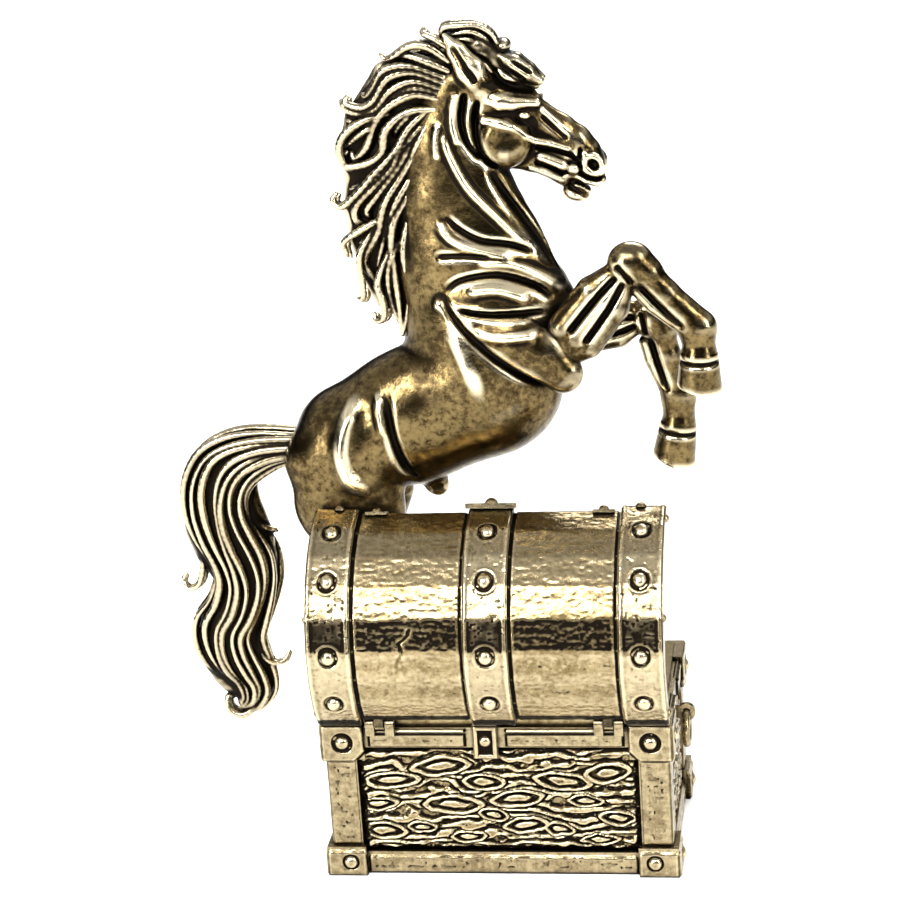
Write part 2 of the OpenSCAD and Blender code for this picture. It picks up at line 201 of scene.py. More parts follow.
def merged(parts):
    """Several (points, faces, hollow) triples as one."""
    points, faces, hollows, count = [], [], [], 0
    for p, f, h in parts:
        points.append(p)
        faces.append(np.asarray(f) + count)
        hollows.append(h)
        count += len(p)
    return np.vstack(points), np.vstack(faces), np.concatenate(hollows)


def blurred(field, reach):
    """The field averaged over a box that reaches so many cells each way."""
    for axis in range(field.ndim):
        pad = [(0, 0)] * field.ndim
        pad[axis] = (reach + 1, reach)
        total = np.cumsum(np.pad(field, pad, mode="edge"), axis=axis, dtype=np.float64)
        size = field.shape[axis]
        upper = np.take(total, range(2 * reach + 1, 2 * reach + 1 + size), axis=axis)
        lower = np.take(total, range(0, size), axis=axis)
        field = ((upper - lower) / (2 * reach + 1)).astype(np.float32)
    return field


# ---------------------------------------------------------------- clay: shapes as a distance field

FAR = 3.0


class Clay:
    """Signed distance on a grid of points, in millimetres, negative inside the metal."""

    def __init__(self, low, high, step):
        """Empty clay in a box, with a grid point each step."""
        self.low = np.array(low, np.float32)
        self.step = step
        size = np.ceil((np.array(high) - np.array(low)) / step).astype(int) + 1
        self.d = np.full(size, FAR, np.float32)

    def window(self, low, high):
        """The part of the grid inside a box, and its X, Y and Z coordinates."""
        a = np.maximum(np.floor((np.array(low) - self.low) / self.step).astype(int), 0)
        b = np.minimum(np.ceil((np.array(high) - self.low) / self.step).astype(int) + 1,
                       self.d.shape)
        part = tuple(slice(i, max(j, i)) for i, j in zip(a, b))
        x, y, z = (np.arange(s.start, s.stop, dtype=np.float32) * self.step + l
                   for s, l in zip(part, self.low))
        return part, x[:, None, None], y[None, :, None], z[None, None, :]

    def join(self, part, d, k):
        """Adds metal, blended over k."""
        old = self.d[part]
        h = np.clip(0.5 + 0.5 * (old - d) / k, 0, 1)
        self.d[part] = old + (d - old) * h - k * h * (1 - h)

    def carve(self, part, d, k):
        """Takes metal away, blended over k."""
        old = self.d[part]
        h = np.clip(0.5 - 0.5 * (old + d) / k, 0, 1)
        self.d[part] = old + (-d - old) * h + k * h * (1 - h)

    def limb(self, points, k, carve=False):
        """Tapered round bars between points (x, y, z, radius, width along Y over radius)."""
        for a, b in zip(points[:-1], points[1:]):
            a, b = np.array(a, float), np.array(b, float)
            reach = np.maximum([a[3], a[3] * a[4], a[3]], [b[3], b[3] * b[4], b[3]]) + k + 0.8
            part, x, y, z = self.window(np.minimum(a[:3], b[:3]) - reach,
                                        np.maximum(a[:3], b[:3]) + reach)
            along = b[:3] - a[:3]
            length2 = max(float(along @ along), 1e-6)
            t = np.clip(((x - a[0]) * along[0] + (y - a[1]) * along[1]
                         + (z - a[2]) * along[2]) / length2, 0, 1)
            width = a[4] + (b[4] - a[4]) * t
            d = np.sqrt((x - a[0] - t * along[0]) ** 2
                        + ((y - a[1] - t * along[1]) / width) ** 2
                        + (z - a[2] - t * along[2]) ** 2) - (a[3] + (b[3] - a[3]) * t)
            (self.carve if carve else self.join)(part, d, k)

    def egg(self, centre, radii, angle, k, carve=False):
        """Ellipsoid, turned in the XZ plane by angle (degrees, +X towards +Z)."""
        reach = max(radii) + k + 0.8
        part, x, y, z = self.window(np.array(centre) - reach, np.array(centre) + reach)
        c, s = math.cos(math.radians(angle)), math.sin(math.radians(angle))
        u, v, w = x - centre[0], y - centre[1], z - centre[2]
        p, q = u * c + w * s, -u * s + w * c
        a, b, e = radii
        k0 = np.sqrt((p / a) ** 2 + (v / b) ** 2 + (q / e) ** 2)
        k1 = np.sqrt((p / a ** 2) ** 2 + (v / b ** 2) ** 2 + (q / e ** 2) ** 2) + 1e-6
        (self.carve if carve else self.join)(part, k0 * (k0 - 1) / k1, k)

    def crease(self, path, width, depth, y0=MID, fade=0.18):
        """Presses a groove (depth > 0) or raises a ridge (depth < 0) along an XZ path into both
        flanks. fade is the share of the path over which each end runs out."""
        path = spline(path, 6)
        reach = 3 * width
        low = [path[:, 0].min() - reach, -99, path[:, 1].min() - reach]
        high = [path[:, 0].max() + reach, 99, path[:, 1].max() + reach]
        part, x, y, z = self.window(low, high)
        best, span, share = nearest_on(path, x[:, 0, :], z[:, 0, :])
        steps = np.linalg.norm(np.diff(path, axis=0), axis=1)
        place = ((np.cumsum(steps) - steps)[span] + share * steps[span]) / steps.sum()
        ends = ramp_up(np.minimum(place, 1 - place), 0, fade)
        press = depth * np.exp(-(best / width) ** 2) * ends
        flank = np.clip(np.abs(y[0, :, 0] - y0) / 0.8, 0, 1)
        self.d[part] += (press[:, None, :] * flank[None, :, None]).astype(np.float32)

    def surface(self, reach):
        """Points and quads of the metal's surface, and how hollow it is over reach."""
        grid = openvdb.FloatGrid(FAR)
        grid.copyFromArray(self.d)
        points, _, quads = grid.convertToPolygons(0.0, 0.0)
        cells = int(round(reach / self.step))
        average = blurred(self.d, cells)
        i = np.clip(np.floor(points).astype(int), 0, np.array(self.d.shape) - 2)
        t = points - i
        hollow = np.zeros(len(points))
        for corner in np.ndindex(2, 2, 2):
            weight = np.prod(np.where(corner, t, 1 - t), axis=1)
            hollow -= weight * average[tuple((i + corner).T)]
        return points * self.step + self.low, quads[:, ::-1], hollow / (0.43 * reach * reach)


# ---------------------------------------------------------------- materials

def set_stops(ramp, stops):
    """Gives a colour ramp grey (place, value) stops."""
    elements = ramp.color_ramp.elements
    while len(elements) < len(stops):
        elements.new(0.5)
    for element, (place, value) in zip(elements, stops):
        element.position = place
        element.color = (value, value, value, 1)


class Nodes:
    """Short helpers for building one material's nodes."""

    def __init__(self, name):
        """An empty material."""
        self.material = bpy.data.materials.new(name)
        self.material.use_nodes = True
        self.nodes, self.links = self.material.node_tree.nodes, self.material.node_tree.links
        self.nodes.clear()

    def add(self, kind, **values):
        """A node of a kind, with its inputs or settings by name."""
        made = self.nodes.new(kind)
        for key, value in values.items():
            if key in made.inputs:
                made.inputs[key].default_value = value
            else:
                setattr(made, key, value)
        return made

    def ramp(self, source, *stops):
        """Grey ramp through (place, value) stops."""
        made = self.add("ShaderNodeValToRGB")
        set_stops(made, stops)
        self.links.new(source, made.inputs[0])
        return made.outputs[0]

    def blend(self, kind, fac, a, b):
        """Mixes two colours; each of the three may be a value or another node's output."""
        made = self.add("ShaderNodeMix", data_type="RGBA", blend_type=kind)
        for socket, value in ((made.inputs[0], fac), (made.inputs[6], a), (made.inputs[7], b)):
            if isinstance(value, (tuple, float)):
                socket.default_value = value
            else:
                self.links.new(value, socket)
        return made.outputs[2]

    def noise(self, coordinate, scale, detail, rough):
        """Fractal noise at a coordinate."""
        made = self.add("ShaderNodeTexNoise", Scale=scale, Detail=detail, Roughness=rough)
        self.links.new(coordinate, made.inputs["Vector"])
        return made.outputs["Fac"]


def brass_material(name, dark, light, bright, reach, hollow, pitting, rough, crevice, relief):
    """Antiqued cast brass: black patina in its hollows, and black as painted shade where the
    occlusion reaches wide recesses and under overhangs, and where the hollow values carry painted
    shade; worn bright on what is proud, with painted highlights where the hollow values are lowered;
    and mottled between a dark and a light tone elsewhere. reach is how wide a hollow still counts,
    in mm, hollow the openness at which the black ends and starts, pitting how strong the pits are,
    crevice where along the hollow values the black begins and is full, and relief how strong the
    cast skin's waves are."""
    n = Nodes(name)
    place = n.add("ShaderNodeTexCoord").outputs["Object"]
    pits = n.noise(place, 2400.0, 4.0, 0.62)
    stains = n.noise(place, 1250.0, 6.0, 0.72)
    clouds = n.noise(place, 130.0, 3.0, 0.5)

    # ambient occlusion turned into colour: black patina in the hollows, and painted shade in wide
    # recesses and under overhangs
    occlusion = n.add("ShaderNodeAmbientOcclusion", samples=8, Distance=reach * MM)
    sunk = n.ramp(occlusion.outputs["AO"], (hollow[0], 0.0), (hollow[1], 1.0))
    # the hollow values: patina, plus the painted shade, painted reflections and painted highlights
    # that the shapes add
    hollow_and_painted_light = n.add("ShaderNodeMapRange")
    for socket, value in (("From Min", -2.0), ("From Max", 2.0)):
        hollow_and_painted_light.inputs[socket].default_value = value
    attribute = n.add("ShaderNodeAttribute", attribute_name="hollow")
    n.links.new(attribute.outputs["Fac"], hollow_and_painted_light.inputs["Value"])
    crevice_patina_and_shade = n.ramp(hollow_and_painted_light.outputs[0], (crevice[0], 1.0), (crevice[1], 0.0))
    free_of_patina_and_shade = n.blend("MULTIPLY", 1.0, sunk, crevice_patina_and_shade)
    # bright where worn proud, and painted highlights where the hollow values are lowered
    worn_and_highlight = n.ramp(hollow_and_painted_light.outputs[0], (0.16, 1.0), (0.42, 0.0))

    mottle = n.blend("OVERLAY", 0.8, n.ramp(stains, (0.36, 0.0), (0.64, 1.0)),
                     n.ramp(clouds, (0.36, 0.1), (0.64, 0.9)))
    clean = n.blend("MIX", mottle, dark, light)
    clean = n.blend("MIX", worn_and_highlight, clean, bright)
    clean = n.blend("MULTIPLY", 0.8 * pitting, clean, n.ramp(pits, (0.30, 0.15), (0.42, 1.0)))
    # near black for patina and for painted shade
    colour = n.blend("MIX", free_of_patina_and_shade, (0.008, 0.006, 0.004, 1), clean)

    shader = n.add("ShaderNodeBsdfPrincipled")
    shader.inputs["Metallic"].default_value = 1.0
    n.links.new(colour, shader.inputs["Base Color"])
    gloss = n.add("ShaderNodeMapRange")
    gloss.inputs["To Min"].default_value = 0.55
    gloss.inputs["To Max"].default_value = rough + 0.14
    n.links.new(free_of_patina_and_shade, gloss.inputs["Value"])
    polish = n.add("ShaderNodeMath", operation="MULTIPLY_ADD")
    n.links.new(mottle, polish.inputs[0])
    polish.inputs[1].default_value = -0.14
    n.links.new(gloss.outputs[0], polish.inputs[2])
    n.links.new(polish.outputs[0], shader.inputs["Roughness"])
    grain = n.add("ShaderNodeBump", Strength=0.4 * pitting, Distance=0.05 * MM)
    n.links.new(pits, grain.inputs["Height"])
    waves = n.add("ShaderNodeBump", Strength=relief, Distance=0.12 * MM)
    n.links.new(stains, waves.inputs["Height"])
    n.links.new(grain.outputs[0], waves.inputs["Normal"])
    n.links.new(waves.outputs[0], shader.inputs["Normal"])
    out = n.add("ShaderNodeOutputMaterial")
    n.links.new(shader.outputs[0], out.inputs["Surface"])
    return n.material


# dark, light and bright tone, reach, openness where the black ends and starts, pitting,
# roughness, crevice and relief; the bright tone is for worn high points and for painted
# highlights, and the black within reach is patina and painted shade
BRASSES = {
    "horse_brass": ((0.028, 0.018, 0.007, 1), (0.175, 0.125, 0.052, 1), (0.80, 0.69, 0.46, 1),
                    3.0, (0.45, 0.92), 0.6, 0.10, (0.53, 0.64), 0.3),
    "hair_brass": ((0.08, 0.06, 0.03, 1), (0.28, 0.23, 0.14, 1), (0.56, 0.48, 0.33, 1),
                   0.9, (0.48, 0.84), 0.3, 0.16, (0.35, 0.47), 0.15),
    "plank_brass": ((0.16, 0.115, 0.05, 1), (0.38, 0.30, 0.165, 1), (0.58, 0.48, 0.30, 1),
                    1.0, (0.45, 0.85), 0.4, 0.16, (0.54, 0.64), 0.25),
    "strap_brass": ((0.18, 0.135, 0.07, 1), (0.42, 0.345, 0.205, 1), (0.64, 0.54, 0.35, 1),
                    1.0, (0.45, 0.85), 0.4, 0.16, (0.53, 0.64), 0.25),
    "pin_brass": ((0.12, 0.085, 0.04, 1), (0.30, 0.23, 0.12, 1), (0.5, 0.4, 0.24, 1),
                  1.0, (0.4, 0.9), 1.0, 0.3, (0.54, 0.68), 0.5),
    "treasure_brass": ((0.2, 0.14, 0.05, 1), (0.56, 0.42, 0.18, 1), (0.75, 0.6, 0.32, 1),
                       1.0, (0.3, 0.75), 0.6, 0.18, (0.54, 0.68), 0.5),
}
MATERIALS = {name: brass_material(name, *values) for name, values in BRASSES.items()}


# ---------------------------------------------------------------- horse: trunk, neck, head, hind legs

def trunk(clay):
    """Barrel, neck, belly and sheath, with the haunches and shoulders."""
    clay.limb([(-14.6, MID, 43.2, 6.2, 0.84), (-8.4, MID, 46.1, 6.4, 0.80),
               (-0.4, MID, 49.6, 7.4, 0.74), (0.8, MID, 55.0, 8.3, 0.64)], k=2.0)
    # neck
    clay.limb([(0.4, MID, 56.5, 8.8, 0.58), (-1.2, MID, 62.5, 7.5, 0.50),
               (-2.3, MID, 68.2, 6.0, 0.50), (-2.7, MID, 73.4, 4.6, 0.54),
               (-2.2, MID, 78.2, 3.5, 0.62)], k=1.6)
    # belly line towards the sheath
    clay.limb([(-2.0, MID, 47.0, 5.4, 0.8), (-7.4, MID, 42.6, 3.6, 0.9)], k=2.0)
    clay.egg((-6.4, MID, 38.6), (1.3, 1.1, 1.6), 30, k=0.6)
    for side in (-1, 1):
        haunch(clay, side)
        shoulder(clay, side)


def haunch(clay, side):
    """Thigh and the hind leg down to the hoof; the far one stands a step forward."""
    y = MID + side * 2.9
    step = 0.0 if side < 0 else 2.2
    clay.egg((-15.2, MID + side * 2.6, 42.2), (4.6, 3.0, 6.4), 100, k=1.6)
    clay.egg((-15.2, y, 38.0), (6.0, 2.7, 5.6), 60, k=1.2)
    clay.limb([(-14.6, y, 36.2, 5.2, 0.52), (-15.4 + step / 2, y, 31.4, 3.2, 0.62),
               (-16.2 + step, y, 26.6, 1.75, 0.8)], k=1.2)
    # point of the hock, cannon, fetlock, pastern
    clay.egg((-17.1 + step, y, 26.4), (1.0, 0.9, 1.5), 20, k=0.8)
    clay.limb([(-16.2 + step, y, 26.4, 1.6, 0.85), (-14.6 + step, y, 21.0, 1.1, 0.95),
               (-12.9 + step, y, 17.2, 1.25, 1.0), (-11.2 + step, y, 15.0, 1.15, 1.0)], k=0.7)
    clay.egg((-13.3 + step, y, 17.0), (1.15, 1.2, 1.35), 0, k=0.6)
    hoof(clay, (-10.6 + step, y, HEAP_TOP), 2.2, 1.45, 2.6)


def hoof(clay, sole, r_low, r_high, height):
    """Upright hoof that stands on its sole, with a rounded coronet above it."""
    x0, y0, z0 = sole
    lean, flattened = 0.35, 1.12
    part, x, y, z = clay.window([x0 - 4, y0 - 4, z0 - 1], [x0 + 4, y0 + 4, z0 + height + 2])
    t = np.clip((z - z0) / height, 0, 1)
    r = r_low + (r_high - r_low) * t
    d = np.maximum(np.hypot(x - x0 + lean * (z - z0), (y - y0) * flattened) - r,
                   np.maximum(z0 - z, z - z0 - height))
    clay.join(part, d, 0.3)


def shoulder(clay, side):
    """Shoulder blade and upper arm: a slab whose lower edge stands sharply proud of the ribs."""
    y = MID + side * 4.5
    clay.limb([(-3.8, MID + side * 3.8, 58.8, 0.9, 0.8), (-0.6, y, 56.9, 1.9, 0.6),
               (2.6, y + side * 0.2, 55.4, 2.9, 0.55), (5.8, y + side * 0.2, 53.4, 2.9, 0.55),
               (7.9, y, 51.6, 2.1, 0.75)], k=0.3)


def folds(clay):
    """Muscle ridges and the grooves between them, the same on both flanks."""
    groove, ridge = 0.95, -0.7
    # the dark recess under the shoulder's edge
    clay.crease([(-4.3, 60.4), (-3.2, 58.4), (-1.3, 56.0), (1.0, 53.8), (3.6, 51.8), (6.8, 50.0)],
                0.45, 0.9)
    clay.crease([(-3.4, 68.0), (-2.0, 66.5), (0.3, 65.2), (3.0, 64.6), (5.6, 63.4)], 0.28, groove)
    clay.crease([(-4.2, 67.4), (-2.6, 65.4), (0.2, 64.2), (4.0, 63.3)], 0.42, ridge)
    clay.crease([(-4.4, 63.6), (-1.8, 63.7), (1.4, 63.5)], 0.28, 0.7)
    clay.crease([(-0.4, 63.0), (3.4, 62.7), (6.6, 61.0), (8.4, 59.3)], 0.45, ridge)
    clay.crease([(-3.8, 60.0), (-1.7, 61.3), (1.8, 61.7), (5.0, 60.6), (7.4, 58.9)], 0.28, groove)
    clay.crease([(-1.6, 60.2), (2.0, 60.4), (5.4, 59.2)], 0.55, ridge)
    clay.crease([(-2.8, 58.5), (0.4, 58.0), (3.8, 57.9), (6.8, 57.9)], 0.26, groove)
    clay.crease([(-1.0, 56.4), (2.0, 55.9), (6.2, 56.2)], 0.55, ridge)
    # the long muscle down the neck, and the throat in front of it
    clay.crease([(-2.9, 77.0), (-2.6, 74.4), (-0.8, 70.6), (2.0, 67.4), (5.0, 64.2)], 0.4, ridge)
    clay.crease([(1.2, 72.6), (2.2, 70.4), (3.8, 67.7), (6.0, 64.3), (7.8, 61.4)], 0.36, 0.75)
    clay.crease([(-3.3, 77.2), (-3.7, 75.2), (-3.6, 73.0)], 0.4, -0.4)
    # flank, the ribs behind the shoulder, the thigh
    clay.crease([(-10.2, 50.3), (-10.0, 47.6), (-9.5, 44.6), (-8.6, 41.6), (-7.0, 39.6)], 0.45,
                0.9, fade=0.3)
    clay.crease([(-11.1, 50.2), (-10.9, 47.6), (-10.5, 45.2)], 0.4, -0.5, fade=0.3)
    clay.crease([(-13.0, 49.8), (-14.5, 46.6), (-14.9, 43.6), (-14.2, 41.0), (-12.0, 38.8)], 0.9,
                -0.9, fade=0.25)
    clay.crease([(-3.2, 56.6), (-2.0, 53.8), (-0.6, 50.4)], 0.8, -0.4, fade=0.4)


# ---------------------------------------------------------------- head

def head(clay):
    """Skull, nose, muzzle and jaw along the middle, then the parts of each cheek."""
    clay.limb([(-1.6, MID, 80.0, 2.7, 0.80), (1.6, MID, 79.4, 3.0, 0.72),
               (4.6, MID, 78.1, 2.1, 0.84)], k=1.0)
    clay.limb([(4.8, MID, 77.7, 1.8, 0.85), (8.4, MID, 75.4, 1.52, 0.86),
               (9.9, MID, 74.25, 1.5, 0.9), (11.0, MID, 73.2, 1.38, 0.98)], k=0.6)
    clay.limb([(4.4, MID, 75.0, 2.0, 0.62), (8.6, MID, 72.9, 1.6, 0.74)], k=0.8)
    clay.egg((11.2, MID, 71.9), (1.6, 1.42, 1.8), 0, k=0.5)
    # upper lip, as a roll round the front
    clay.limb([(12.2, MID, 71.6, 0.5, 1.8), (12.3, MID, 70.5, 0.45, 2.4)], k=0.2)
    clay.limb([(9.2, MID, 70.95, 0.46, 2.6), (10.1, MID, 70.85, 0.46, 3.0),
               (10.85, MID, 70.4, 0.48, 3.0), (11.9, MID, 70.05, 0.48, 2.9),
               (12.4, MID, 70.25, 0.42, 2.8)], k=0.12)
    # lower jaw and lip
    clay.limb([(3.6, MID, 73.4, 1.9, 0.6), (5.4, MID, 72.5, 1.25, 0.8),
               (7.0, MID, 71.8, 1.05, 0.95), (8.6, MID, 70.6, 0.95, 1.1)], k=0.4)
    clay.egg((9.75, MID, 69.0), (1.4, 1.15, 0.92), -14, k=0.2)
    clay.limb([(9.7, MID, 69.95, 0.26, 4.0), (10.5, MID, 69.7, 0.26, 4.0),
               (11.0, MID, 69.2, 0.22, 4.0)], k=0.1)
    clay.limb([(9.2, MID, 70.35, 0.06, 20), (10.0, MID, 70.3, 0.16, 14),
               (11.0, MID, 69.68, 0.2, 12), (12.2, MID, 69.2, 0.22, 12)], k=0.06, carve=True)
    clay.egg((9.9, MID, 69.9), (1.0, 0.6, 0.7), 0, k=0.1)
    for side in (-1, 1):
        cheek(clay, side)
        eye(clay, side)
        nostril(clay, side)
        ear(clay, side)


def cheek(clay, side):
    """Round jaw muscle with a dent, the crest in front of it and the two muscles below."""
    clay.egg((3.05, MID + side * 1.2, 74.8), (2.75, 1.5, 2.85), 0, k=0.1)
    clay.egg((3.4, MID + side * 3.75, 75.3), (2.2, 1.3, 1.5), 20, k=0.9, carve=True)
    y = MID + side * 1.85
    clay.limb([(1.2, y, 77.0, 0.55, 1), (2.6, y + side * 0.15, 76.7, 0.55, 1),
               (3.9, y + side * 0.15, 76.2, 0.5, 1), (5.1, y + side * 0.05, 75.25, 0.42, 1),
               (6.1, y - side * 0.15, 74.75, 0.36, 1), (7.6, y - side * 0.3, 74.4, 0.34, 1),
               (9.3, y - side * 0.5, 73.75, 0.32, 1)], k=0.15)
    clay.limb([(6.6, MID + side * 1.25, 73.0, 0.6, 1.0), (8.6, MID + side * 1.25, 72.1, 0.62, 0.9)],
              k=0.1)
    # the jaw's lower edge and the edge of the nose bone
    clay.limb([(5.4, MID + side * 0.95, 71.9, 0.24, 1), (7.0, MID + side * 0.95, 71.25, 0.24, 1),
               (8.5, MID + side * 1.0, 70.55, 0.24, 1)], k=0.1)
    clay.limb([(6.9, MID + side * 1.25, 77.7, 0.36, 1), (8.3, MID + side * 1.15, 76.3, 0.34, 1),
               (10.2, MID + side * 0.95, 74.5, 0.34, 1)], k=0.15)


def eye(clay, side):
    """Deep socket with the eye under a heavy brow that ends in a knob."""
    y = MID + side * 1.8
    clay.egg((5.4, MID + side * 2.25, 76.9), (1.75, 0.95, 0.8), -32, k=0.2, carve=True)
    clay.egg((5.15, MID + side * 1.5, 77.35), (0.68, 0.75, 0.45), -10, k=0.06)
    clay.limb([(0.5, y, 79.5, 0.35, 0.9), (1.6, y + side * 0.1, 79.2, 0.7, 0.8),
               (2.9, y + side * 0.1, 78.8, 0.92, 0.8), (4.0, y, 78.6, 0.78, 0.85),
               (5.1, y - side * 0.1, 78.6, 0.55, 0.9), (6.3, y - side * 0.4, 78.5, 0.5, 0.9)],
              k=0.12)


def nostril(clay, side):
    """A thick leaning ring of flesh round a deep hole, with folds behind it."""
    y = MID + side * 1.35
    turns = np.linspace(0, 2 * math.pi, 15)
    lean_x, lean_z, narrow = 0.64, 0.77, 0.8
    ring = [(11.62 + lean_x * math.cos(a) + lean_z * narrow * math.sin(a), y,
             72.05 - lean_z * math.cos(a) + lean_x * narrow * math.sin(a), 0.38, 1.0)
            for a in turns]
    clay.egg((11.6, MID + side * 1.0, 72.05), (1.0, 0.7, 1.2), 0, k=0.2)
    clay.limb(ring, k=0.1)
    clay.egg((11.72, MID + side * 2.0, 72.1), (0.55, 1.2, 0.66), 40, k=0.08, carve=True)
    clay.limb([(10.15, y - side * 0.3, 74.0, 0.32, 1), (10.05, y - side * 0.1, 73.1, 0.34, 1)],
              k=0.1)
    clay.egg((10.75, y, 73.25), (0.42, 0.42, 0.36), 0, k=0.08)
    clay.egg((9.7, y - side * 0.05, 71.7), (0.66, 0.5, 0.56), 0, k=0.1)


def ear(clay, side):
    """Pricked ear, cupped outwards, with a deep inner fold."""
    y = MID + side * 1.75
    clay.limb([(1.0, y, 80.2, 1.2, 0.8), (0.1, y + side * 0.25, 82.1, 1.45, 0.6),
               (-1.1, y + side * 0.2, 84.0, 0.95, 0.65), (-2.2, y, 85.5, 0.3, 1)], k=0.3)
    clay.limb([(0.5, y + side * 0.95, 81.2, 0.4, 0.9), (-0.3, y + side * 1.15, 82.7, 0.6, 0.9),
               (-1.4, y + side * 0.85, 84.4, 0.3, 1)], k=0.08, carve=True)
    clay.limb([(1.0, y + side * 0.55, 81.3, 0.3, 1), (0.3, y + side * 0.75, 82.6, 0.32, 1),
               (-0.7, y + side * 0.55, 84.0, 0.22, 1)], k=0.1)


def head_creases(clay):
    """Folds behind the jaw, and the black lines of the face."""
    clay.crease([(-0.5, 80.0), (-0.9, 78.4), (-1.1, 76.9), (-0.8, 75.4), (-0.3, 74.3), (0.8, 72.9)],
                0.27, 1.0, fade=0.1)
    clay.crease([(0.0, 79.2), (-0.35, 77.6), (-0.35, 76.0), (0.1, 74.2)], 0.22, -0.5, fade=0.12)
    clay.crease([(0.8, 79.2), (0.4, 78.0), (0.2, 76.4), (0.3, 74.6), (1.1, 73.0), (2.4, 72.0)],
                0.25, 1.0, fade=0.1)
    clay.crease([(-1.5, 80.0), (-1.9, 78.0), (-1.9, 76.4), (-1.4, 74.6)], 0.35, -0.5, fade=0.1)
    clay.crease([(5.8, 74.0), (7.6, 73.7), (9.3, 73.1), (10.3, 72.4)], 0.2, 0.8, fade=0.06)
    clay.crease([(5.8, 72.5), (7.3, 71.95), (8.8, 71.15)], 0.24, 0.8, fade=0.08)
    clay.crease([(6.7, 77.2), (7.9, 75.9), (9.3, 74.6)], 0.2, 0.4, fade=0.12)
    clay.crease([(10.2, 71.35), (11.4, 70.75), (13.0, 70.6)], 0.17, 0.6, fade=0.06)
    clay.crease([(10.5, 73.9), (10.35, 72.6), (10.5, 71.6)], 0.15, 0.5, fade=0.1)
    clay.crease([(9.0, 69.9), (9.6, 69.45), (10.4, 69.0), (11.0, 68.5)], 0.2, 0.5, fade=0.1)
    # under the forelock
    clay.crease([(1.8, 82.4), (2.8, 80.9), (4.0, 80.1), (5.4, 79.7), (6.8, 79.3)], 0.36, 0.9,
                fade=0.1)


# ---------------------------------------------------------------- forelegs

def foreleg(node, y, *joints, stout=1.0):
    """One folded foreleg as its own casting, through the (x, z) points of its elbow, knee,
    fetlock, coronet and the tip of its hoof."""
    elbow, knee, fetlock, coronet, tip = joints = np.array(joints)
    low, high = joints.min(axis=0), joints.max(axis=0)
    clay = Clay([low[0] - 4.6, y - 3.6, low[1] - 4.2], [high[0] + 4, y + 3.6, high[1] + 4], 0.12)
    along = unit(knee - elbow)
    across = turned(along)          # towards the back of the forearm
    length = np.linalg.norm(knee - elbow)
    # three long muscles of the forearm that gather at the knee
    for shift, r_low, r_high in ((-1.5, 1.55, 1.1), (0.1, 1.7, 1.2), (1.6, 1.35, 0.85)):
        start = elbow + shift * across * stout
        middle = elbow + 0.5 * length * along + 0.85 * shift * across * stout
        end = knee - 1.6 * along + 0.45 * shift * across
        clay.limb([(*at(start, y), r_low * stout, 0.95), (*at(middle, y), 1.1 * r_low * stout, 0.9),
                   (*at(end, y), r_high * stout, 1.0)], k=0.18)
    clay.egg(at(elbow - 0.9 * along, y), (2.4 * stout, 1.3, 1.7 * stout),
             math.degrees(math.atan2(across[1], across[0])), k=0.3)
    # knee: a broad block with a flat front
    clay.egg(at(knee, y), (2.35, 1.8, 2.2), 0, k=0.35)
    down = unit(fetlock - knee)
    back = turned(down)             # towards the tendon
    clay.egg(at(knee + 1.5 * down - 0.3 * back, y), (1.9, 1.6, 1.7), 0, k=0.4)
    middle = (knee + fetlock) / 2
    clay.limb([(*at(knee + 1.2 * down - 0.3 * back, y), 1.65 * stout, 0.85),
               (*at(middle - 0.25 * back, y), 1.4 * stout, 0.95),
               (*at(fetlock, y), 1.95 * stout, 0.8)], k=0.4)
    tendon = [knee + 2.4 * down + 1.5 * back, middle + 1.55 * back, fetlock + 0.9 * back]
    clay.limb([(*at(p, y), 0.7, 1.1) for p in tendon], k=0.15)
    # pastern, coronet band and hoof
    axis = unit(tip - coronet)
    height = np.linalg.norm(tip - coronet)
    clay.limb([(*at(fetlock, y), 1.85 * stout, 0.85), (*at(coronet - 0.4 * axis, y), 1.65, 0.95)],
              k=0.4)
    side_axis = turned(axis)
    part, x, yy, z = clay.window([coronet[0] - 5, y - 3, coronet[1] - 6],
                                 [coronet[0] + 5, y + 3, coronet[1] + 4])
    u = (x - coronet[0]) * axis[0] + (z - coronet[1]) * axis[1]
    v = (x - coronet[0]) * side_axis[0] + (z - coronet[1]) * side_axis[1]
    r = 1.8 + 0.4 * np.clip(u / height, 0, 1)
    round_wall = np.sqrt((v * 0.95) ** 2 + (yy - y) ** 2) - r
    slab = np.maximum(-u, u - height + 0.28 * np.maximum(v, 0))
    clay.join(part, np.maximum(round_wall, slab), 0.35)
    clay.limb([(*at(coronet, y), 1.8, 1.0), (*at(coronet + 0.2 * axis, y), 1.8, 1.0)], k=0.2)
    clay.crease([coronet + 0.75 * axis - 2.6 * side_axis, coronet + 0.75 * axis + 2.6 * side_axis],
                0.2, 0.35, y0=y, fade=0.01)
    for shift in (-0.75, 0.85):
        clay.crease([elbow + shift * 1.2 * across, elbow + 0.5 * length * along + shift * across,
                     knee - 1.6 * along + 0.5 * shift * across], 0.3, 0.75, y0=y, fade=0.12)
    clay.crease([knee + 1.6 * down + 0.8 * back, middle + 0.9 * back,
                 fetlock - 0.8 * down + 0.7 * back], 0.3, 0.55, y0=y)
    clay.crease([knee + 0.9 * back - 1.2 * down, knee + 1.0 * back + 0.4 * down,
                 knee + 1.2 * back + 1.6 * down], 0.3, 0.5, y0=y)
    mesh_object(node + "_casting", clay.surface(0.48), "chest", "horse_brass", node)
